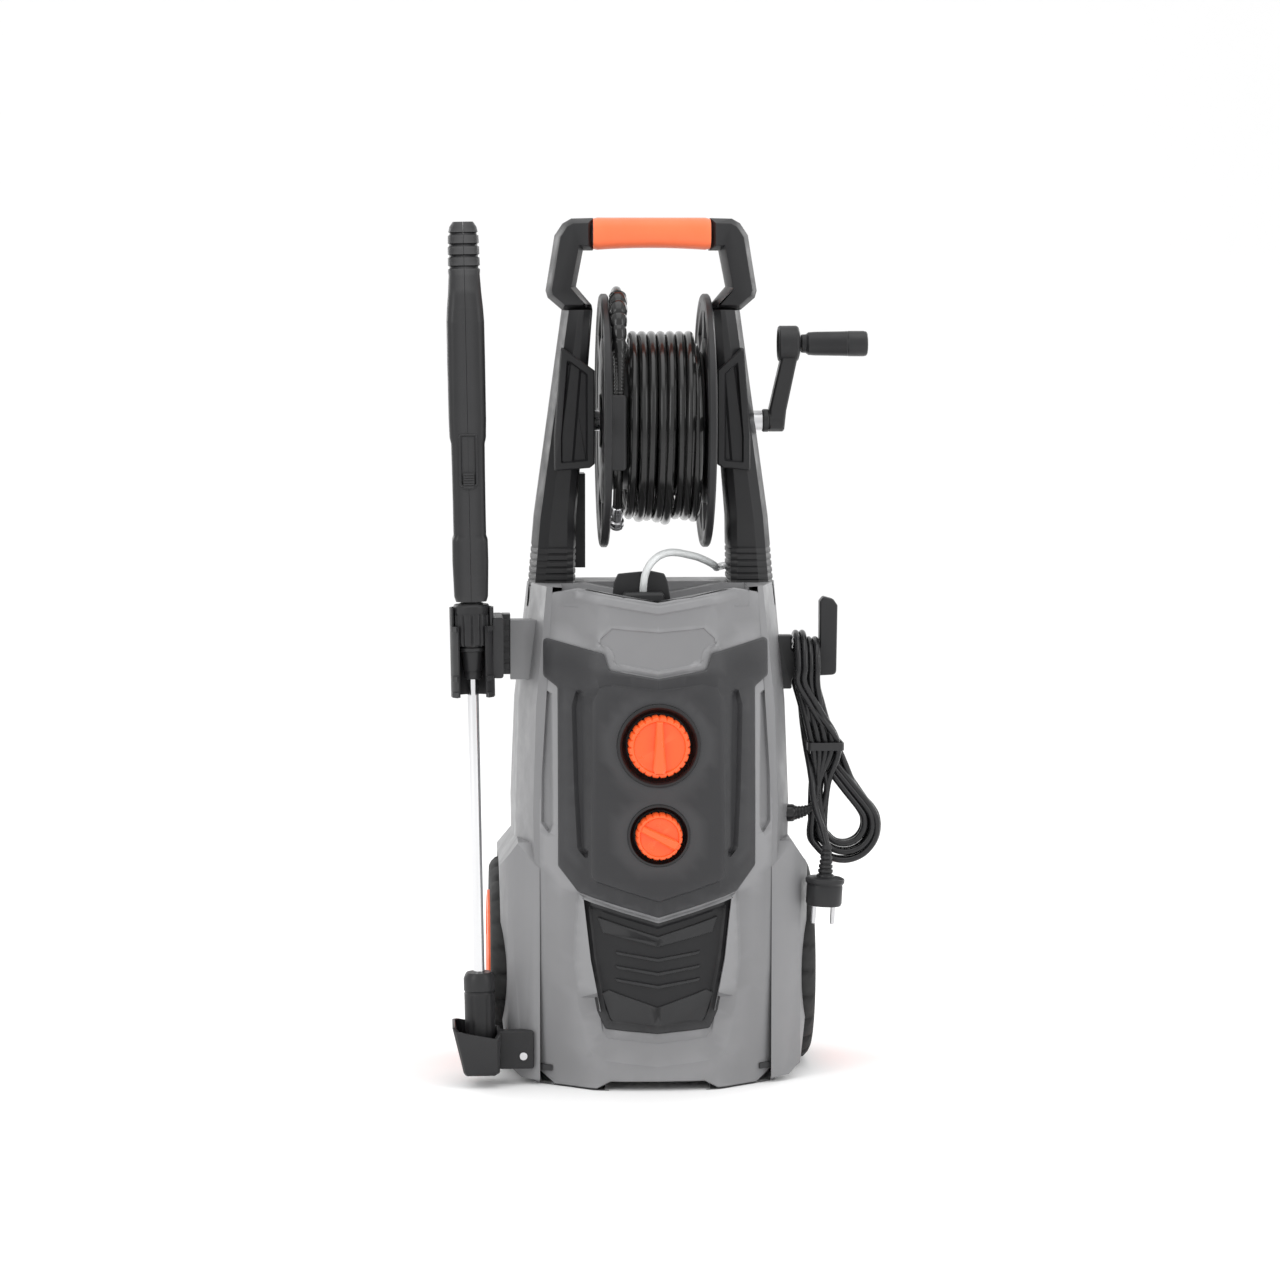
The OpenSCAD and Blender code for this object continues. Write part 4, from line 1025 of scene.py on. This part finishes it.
def gun_at(z):
    for a, b in zip(GUN, GUN[1:]):
        if z <= b[0]:
            t = (z - a[0]) / (b[0] - a[0])
            return [z] + [a[i] + (b[i] - a[i]) * t for i in range(1, 5)]
    return list(GUN[-1])


zs = []
z = 461.0
while z < 833:
    zs.append(z)
    z += 3.0
zs = sorted(set(zs + [g[0] for g in GUN]))
GROOVES = (788, 799, 810, 821)
for side, s in (("left", -1), ("right", 1)):
    sh = Shape()
    rings = []
    extra = sorted(set(zs + [g + d for g in GROOVES for d in (-1.8, -1, 1, 1.8)]))
    for z in extra:
        g = gun_at(z)
        dip = 1.5 if any(abs(z - q) <= 1.01 for q in GROOVES) else 0
        rings.append(gun_ring(z, g[1] + dip, g[2] - dip, g[3] - dip, g[4], s))
    sh.loft(rings)
    # one side of the trigger guard
    guard_out = smooth_path([(19, 630), (47, 660), (63, 700), (66, 735), (62, 775), (56, 800)], 6)
    guard_in = smooth_path([(19, 644), (42, 671), (56, 704), (58.5, 735), (55, 770), (50, 792)], 6)
    rings = []
    for a, b in zip(guard_out, guard_in):
        rings.append([lance(s * 0.15, a[0], a[1]), lance(s * 5.2, a[0] - 0.6, a[1]),
                      lance(s * 6, (a[0] + b[0]) / 2, (a[1] + b[1]) / 2),
                      lance(s * 5.2, b[0] + 0.6, b[1]), lance(s * 0.15, b[0], b[1])])
    sh.loft(rings)
    piece(f"gun_shell_{side}", sh.v, sh.f, "gun_black", "gun", replaces=f"gun_half_{side}", angle=38)

sh = Shape()      # frame round the lock slide
frame_out = fillet([(-9.2, 574), (9.2, 574), (9.2, 626), (-9.2, 626)], 4)
rings = []
front = -18.9
for o_, y in ((frame_out, front + 2), (frame_out, front - 0.9), (inset(frame_out, 0.9), front - 1.5),
              (inset(frame_out, 2.2), front - 1.5), (inset(frame_out, 2.8), front + 0.4)):
    rings.append([lance(x, y, z) for x, z in o_])
sh.loft(rings)
piece("lock_frame", sh.v, sh.f, "gun_black", "gun", bevel=0.3)
sh = Shape()
for k in range(6):
    z0 = 573.2 + 2.45 * k
    sh.loft([[lance(x, y, z) for x, z in ((-5.3, z0), (5.3, z0), (5.3, z0 + 1.7), (-5.3, z0 + 1.7))]
             for y in (-19, -21.4)])
sh.loft([[lance(x, y, z) for x, z in ((-5.3, 572), (5.3, 572), (5.3, 588), (-5.3, 588))]
         for y in (-15.2, -20.3)])
piece("lock_button", sh.v, sh.f, "gun_black", "trigger_lock", replaces="lock_slide", bevel=0.3)


# ---------------------------------------------------------------- lance clip and nozzle cup
sh = Shape()
clip_in, clip_out = 19.5, 21.7


def c_wall(z0, z1, open0):
    """An open C round the lance; open0 is half its opening in degrees."""
    n = 30
    ring_in, ring_out = [], []
    for k in range(n + 1):
        a = math.radians(-90 + open0 + (360 - 2 * open0) * k / n)
        ring_in.append((clip_in * math.cos(a), clip_in * math.sin(a)))
        ring_out.append((clip_out * math.cos(a), clip_out * math.sin(a)))
    outline = ring_out + [(x, y) for x, y in reversed(ring_in)]
    sh.loft([[lance(x, y, z) for x, y in outline] for z in (z0, z1)])


c_wall(367, 437, 40)
c_wall(437, 455, 66)
for s in (-1, 1):
    for z0, z1 in ((367, 372), (383, 388), (432, 437)):
        sh.loft([[lance(s * x, y, z) for x, y in ((13.6, -16.5), (15.4, -20.4), (20.4, -13.5), (20.9, -6))]
                 for z in (z0, z1)])
blk_out = [(-160.2, 405), (-150, 405), (-150, 465), (-160.2, 465)]
sh.loft([[(x, y, z) for x, z in fillet(blk_out, 3)] for y in (-80, -18)])
piece("clip_wall", sh.v, sh.f, "frame_black", "root", replaces="lance_clip", bevel=0.6)
sh = Shape()
for k in range(5):
    z0 = 410 + 11 * k
    sh.loft([[(x, y, z) for x, z in ((-150.5, z0), (-143, z0), (-143, z0 + 6), (-150.5, z0 + 6))]
             for y in (-39.5, -17)])
sh.loft([[(x, y, z) for x, z in ((-151, 405), (-142.5, 405), (-142.5, 465), (-151, 465))]
         for y in (-38, -18)])
piece("clip_bracket", sh.v, sh.f, "gun_black", "root", bevel=0.6)

sh = Shape()
out = [(-202, -100), (-198, -104), (-158, -104), (-154.5, -100), (-154.5, -50), (-158, -46), (-198, -46),
       (-202, -50)]
top_z = [61, 57, 50, 54, 54, 54, 61, 61]
low = [(-191, -100), (-189, -103), (-158, -103), (-155, -100), (-155, -50), (-158, -47), (-189, -47),
       (-191, -50)]
wall_t = 3.0


def shrunk(o, t):
    cx = sum(p[0] for p in o) / len(o)
    cy = sum(p[1] for p in o) / len(o)
    return [(p[0] + (t if p[0] < cx else -t), p[1] + (t if p[1] < cy else -t)) for p in o]


rings = [[(x, y, 12.5 + (1.5 if x > -160 else 0)) for x, y in shrunk(low, 2)], [(x, y, 16) for x, y in low],
         [(x, y, z) for (x, y), z in zip(out, top_z)],
         [(x, y, z) for (x, y), z in zip(shrunk(out, wall_t), top_z)],
         [(x, y, 18.5) for x, y in shrunk(low, wall_t)], [(x, y, 17.5) for x, y in shrunk(low, wall_t + 2)]]
sh.loft(rings)
plate = fillet([(-156, 16), (-121, 16), (-121, 54), (-156, 54)], 3)
sh.loft(stacked((plate, -70), (plate, -83), (inset(plate, 1), -84)))
piece("nozzle_cup_body", sh.v, sh.f, "frame_black", "root", replaces="lance_cup", bevel=0.7)


# ---------------------------------------------------------------- hook, gland, tie and plug
sh = Shape()
hook = fillet([(126, 386), (141, 386), (141, 398), (186, 400), (187, 470), (183, 476), (173, 479),
               (169, 474), (169, 425),
               (141, 425), (141, 440), (126, 440)], [0, 2, 6, 5, 3, 3, 3, 2, 6, 3, 0, 0])
sh.loft(stacked((inset(hook, 1.2), 9), (hook, 7.4), (hook, -7.4), (inset(hook, 1.2), -9)))
piece("hook_arm", sh.v, sh.f, "frame_black", "root", replaces="cable_hook", bevel=0.5)

sh = Shape()
gl = (0, -20, 262)
prof = [(3.3, 129), (8.6, 129), (8.9, 131), (8.9, 141), (8, 143)]
for k in range(7):
    x = 143.5 + 3.2 * k
    r = 7.2 - 0.5 * k
    prof += [(r, x), (r, x + 1.7), (r - 0.9, x + 2.1), (r - 0.9, x + 3.0)]
rings = []
for r, x in prof + [(3.35, prof[-1][1] + 0.3)]:
    # the relief follows the lead's first bend
    run = max(0, x - 143.5)
    cx, cz = x, 262 + 0.028 * run * run * 0.6
    rings.append([(cx, gl[1] + r * math.cos(2 * math.pi * k / 40) + 0.05 * run,
                   cz + r * math.sin(2 * math.pi * k / 40)) for k in range(40)])
sh.loft(rings)
gland = piece("strain_relief", sh.v, sh.f, "lead_black", "root", replaces="cable_gland", bevel=0.25)

sh = Shape()
tie_o = [(155.6, -28.4), (158, -30.8), (190, -30.8), (192, -28), (192, 13), (190, 15), (158, 15),
         (155.6, 13)]
tie_i = [(x * 0.92 + 174 * 0.08, y * 0.92 - 8 * 0.08) for x, y in tie_o]
sh.loft([[(x, y, z) for x, y in o_]
         for o_, z in ((tie_o, 325.5), (tie_o, 333.5), (tie_i, 333.5), (tie_i, 325.5))], closed=True)
piece("lead_tie", sh.v, sh.f, "gun_black", "root", bevel=0.5)

PLUG_TILT = math.radians(3)


def plug_at(x, y, z):
    return (172 + x * math.cos(PLUG_TILT) + z * math.sin(PLUG_TILT), -60 + y,
            234 - x * math.sin(PLUG_TILT) + z * math.cos(PLUG_TILT))


sh = Shape()
prof = [(3.4, 2), (4.2, 1)]
for k in range(6):
    z = -1 - 4.6 * k
    r = 5.0 + 0.5 * k
    prof += [(r, z), (r, z - 2.6), (r - 0.9, z - 3.1), (r - 0.9, z - 4.4)]
prof += [(8.4, -29), (9, -31), (16.5, -31.4), (19.5, -33), (19.5, -36.5), (18.4, -38), (17.6, -39),
         (18, -41), (18, -57), (16.8, -60), (0.02, -60)]
rings = []
for r, z in prof:
    rings.append([plug_at(r * math.cos(2 * math.pi * k / 56),
                          r * math.sin(2 * math.pi * k / 56) * (1 if abs(r) < 12 else 0.94), z)
                          for k in range(56)])
sh.loft(rings)
plug = piece("plug_moulding", sh.v, sh.f, "gun_black", "root", replaces="plug_body", bevel=0.4)
sh = Shape()
for s in (-1, 1):
    rings = []
    for r, z in [(2.4, -50), (2.4, -76.5), (1.8, -78.6), (0.02, -79)]:
        rings.append([plug_at(s * 9.5 + r * math.cos(2 * math.pi * k / 20),
                              r * math.sin(2 * math.pi * k / 20), z) for k in range(20)])
    sh.loft(rings)
pins = piece("plug_prongs", sh.v, sh.f, "steel", "root", replaces="plug_pins", angle=40)


# ---------------------------------------------------------------- filler cap
sh = Shape()
sh.lathe([(0.02, 461), (14, 461), (14.4, 463), (14.4, 476), (0.02, 476)], (-12.5, -76, 0), "z", 40)
cap = fillet([(-33, -92), (8, -92), (8, -70), (-33, -70)], 5)
sh.loft([[(x, y, z) for x, y in o_] for o_, z in ((cap, 476), (cap, 487), (inset(cap, 2), 490))])
hood = fillet([(-43, 477), (16, 477), (12, 500), (9, 507), (-5, 510), (-37, 507), (-41, 498)],
              [0, 0, 3, 3, 3, 3, 3])
sh.loft(stacked((hood, -66.8), (hood, -69.6), (inset(hood, 0.8), -70.3)))
piece("detergent_cap", sh.v, sh.f, "frame_black", "root", replaces="filler_cap", bevel=0.6)


# ---------------------------------------------------------------- wheels
AXLE = (0, 52, 105)
for side, s in (("left", -1), ("right", 1)):
    body = f"wheel_{side}"
    sh = Shape()
    seg = 144

    def wheel_rings(prof, lugs=False):
        rings = []
        for r, x in prof:
            ring = []
            for k in range(seg):
                t = 2 * math.pi * k / seg
                rr = r
                if lugs and r > 101:
                    rr = r - (3.0 if (k % 6) in (0,) else 0)
                ring.append((s * x, AXLE[1] + rr * math.sin(t), AXLE[2] + rr * math.cos(t)))
            rings.append(ring)
        return rings
    sh.loft(wheel_rings([(70, 129), (95, 129), (99, 131), (103, 135), (104.6, 140), (105, 146), (104.6, 152),
                         (103, 157), (99, 161),
                         (95, 163), (80, 163), (78, 162), (70, 162.5)], lugs=True), closed=True)
    piece(f"tyre_{side}_tread", sh.v, sh.f, "tyre_black", body, replaces=f"tyre_{side}", angle=40)
    copy_of(f"rim_{side}", f"wheel_disc_{side}", "rim_orange", body=body, bevel=0.8, angle=35)


# ---------------------------------------------------------------- CAD parts that stay, with rounded edges
def dress(node, slot, bevel=0.5):
    obj = NODES[node]
    obj.data.materials.clear()
    obj.data.materials.append(MAT[slot])
    w = obj.modifiers.new("weld", "WELD")
    w.merge_threshold = 2e-5
    d = obj.modifiers.new("flat", "DECIMATE")
    d.decimate_type = "DISSOLVE"
    d.angle_limit = math.radians(1.5)
    b = obj.modifiers.new("edges", "BEVEL")
    b.width, b.segments, b.limit_method = bevel * MM, 2, "ANGLE"
    b.angle_limit = math.radians(32)
    b.harden_normals = True


SLOTS = {e["node"]: e["material_slot"] for e in frame["record"]["subparts"]}
for node in NODES:
    if node not in REPLACED:
        dress(node, SLOTS[node], 1.6 if node == "rear_shell" else 0.5)


# ---------------------------------------------------------------- floor and light
def add_stage():
    me = bpy.data.meshes.new("floor")
    n, size = 24, 6.0
    verts, faces = [], []
    for j in range(n + 1):
        v = j / n
        for i in range(3):
            x = (i - 1) * size
            if v < 0.5:
                y, z = -size + v * 2 * size * 1.5, 0.0
            else:
                a = (v - 0.5) * 2 * math.pi / 2
                y, z = size * 0.5 + 3.0 * math.sin(a), 3.0 * (1 - math.cos(a))
            verts.append((x, y, z - 0.0005))
    for j in range(n):
        for i in range(2):
            k = j * 3 + i
            faces.append((k, k + 1, k + 4, k + 3))
    me.from_pydata(verts, [], faces)
    me.shade_smooth()
    obj = bpy.data.objects.new("floor", me)
    bpy.context.scene.collection.objects.link(obj)
    m, _, _, bsdf = new_material("floor_white")
    bsdf.inputs["Base Color"].default_value = (0.92, 0.92, 0.92, 1)
    bsdf.inputs["Roughness"].default_value = 0.8
    bsdf.inputs["Specular IOR Level"].default_value = 0.1
    me.materials.append(m)


def area(name, loc, target, size, power, size_y=None):
    data = bpy.data.lights.new(name, "AREA")
    data.shape = "RECTANGLE"
    data.size, data.size_y = size, size_y or size
    data.energy = power
    obj = bpy.data.objects.new(name, data)
    obj.location = loc
    obj.rotation_euler = (Vector(target) - Vector(loc)).to_track_quat("-Z", "Y").to_euler()
    bpy.context.scene.collection.objects.link(obj)


add_stage()
area("key_left", (-2.6, -2.2, 1.9), (0, 0, 0.45), 1.2, 27, 2.2)
area("key_right", (2.6, -1.8, 1.7), (0, 0, 0.45), 1.2, 21, 2.2)
area("top", (0, -0.6, 3.2), (0, 0, 0.3), 2.6, 28)
area("rim_left", (-1.8, 1.9, 1.4), (0, 0, 0.6), 0.7, 16, 1.8)
area("rim_right", (1.9, 1.8, 1.4), (0, 0, 0.6), 0.7, 16, 1.8)
world = bpy.data.worlds.new("world")
world.use_nodes = True
world.node_tree.nodes["Background"].inputs["Color"].default_value = (1, 1, 1, 1)
world.node_tree.nodes["Background"].inputs["Strength"].default_value = 1.0
bpy.context.scene.world = world
bpy.context.scene.view_settings.view_transform = "Standard"

bpy.context.view_layer.update()
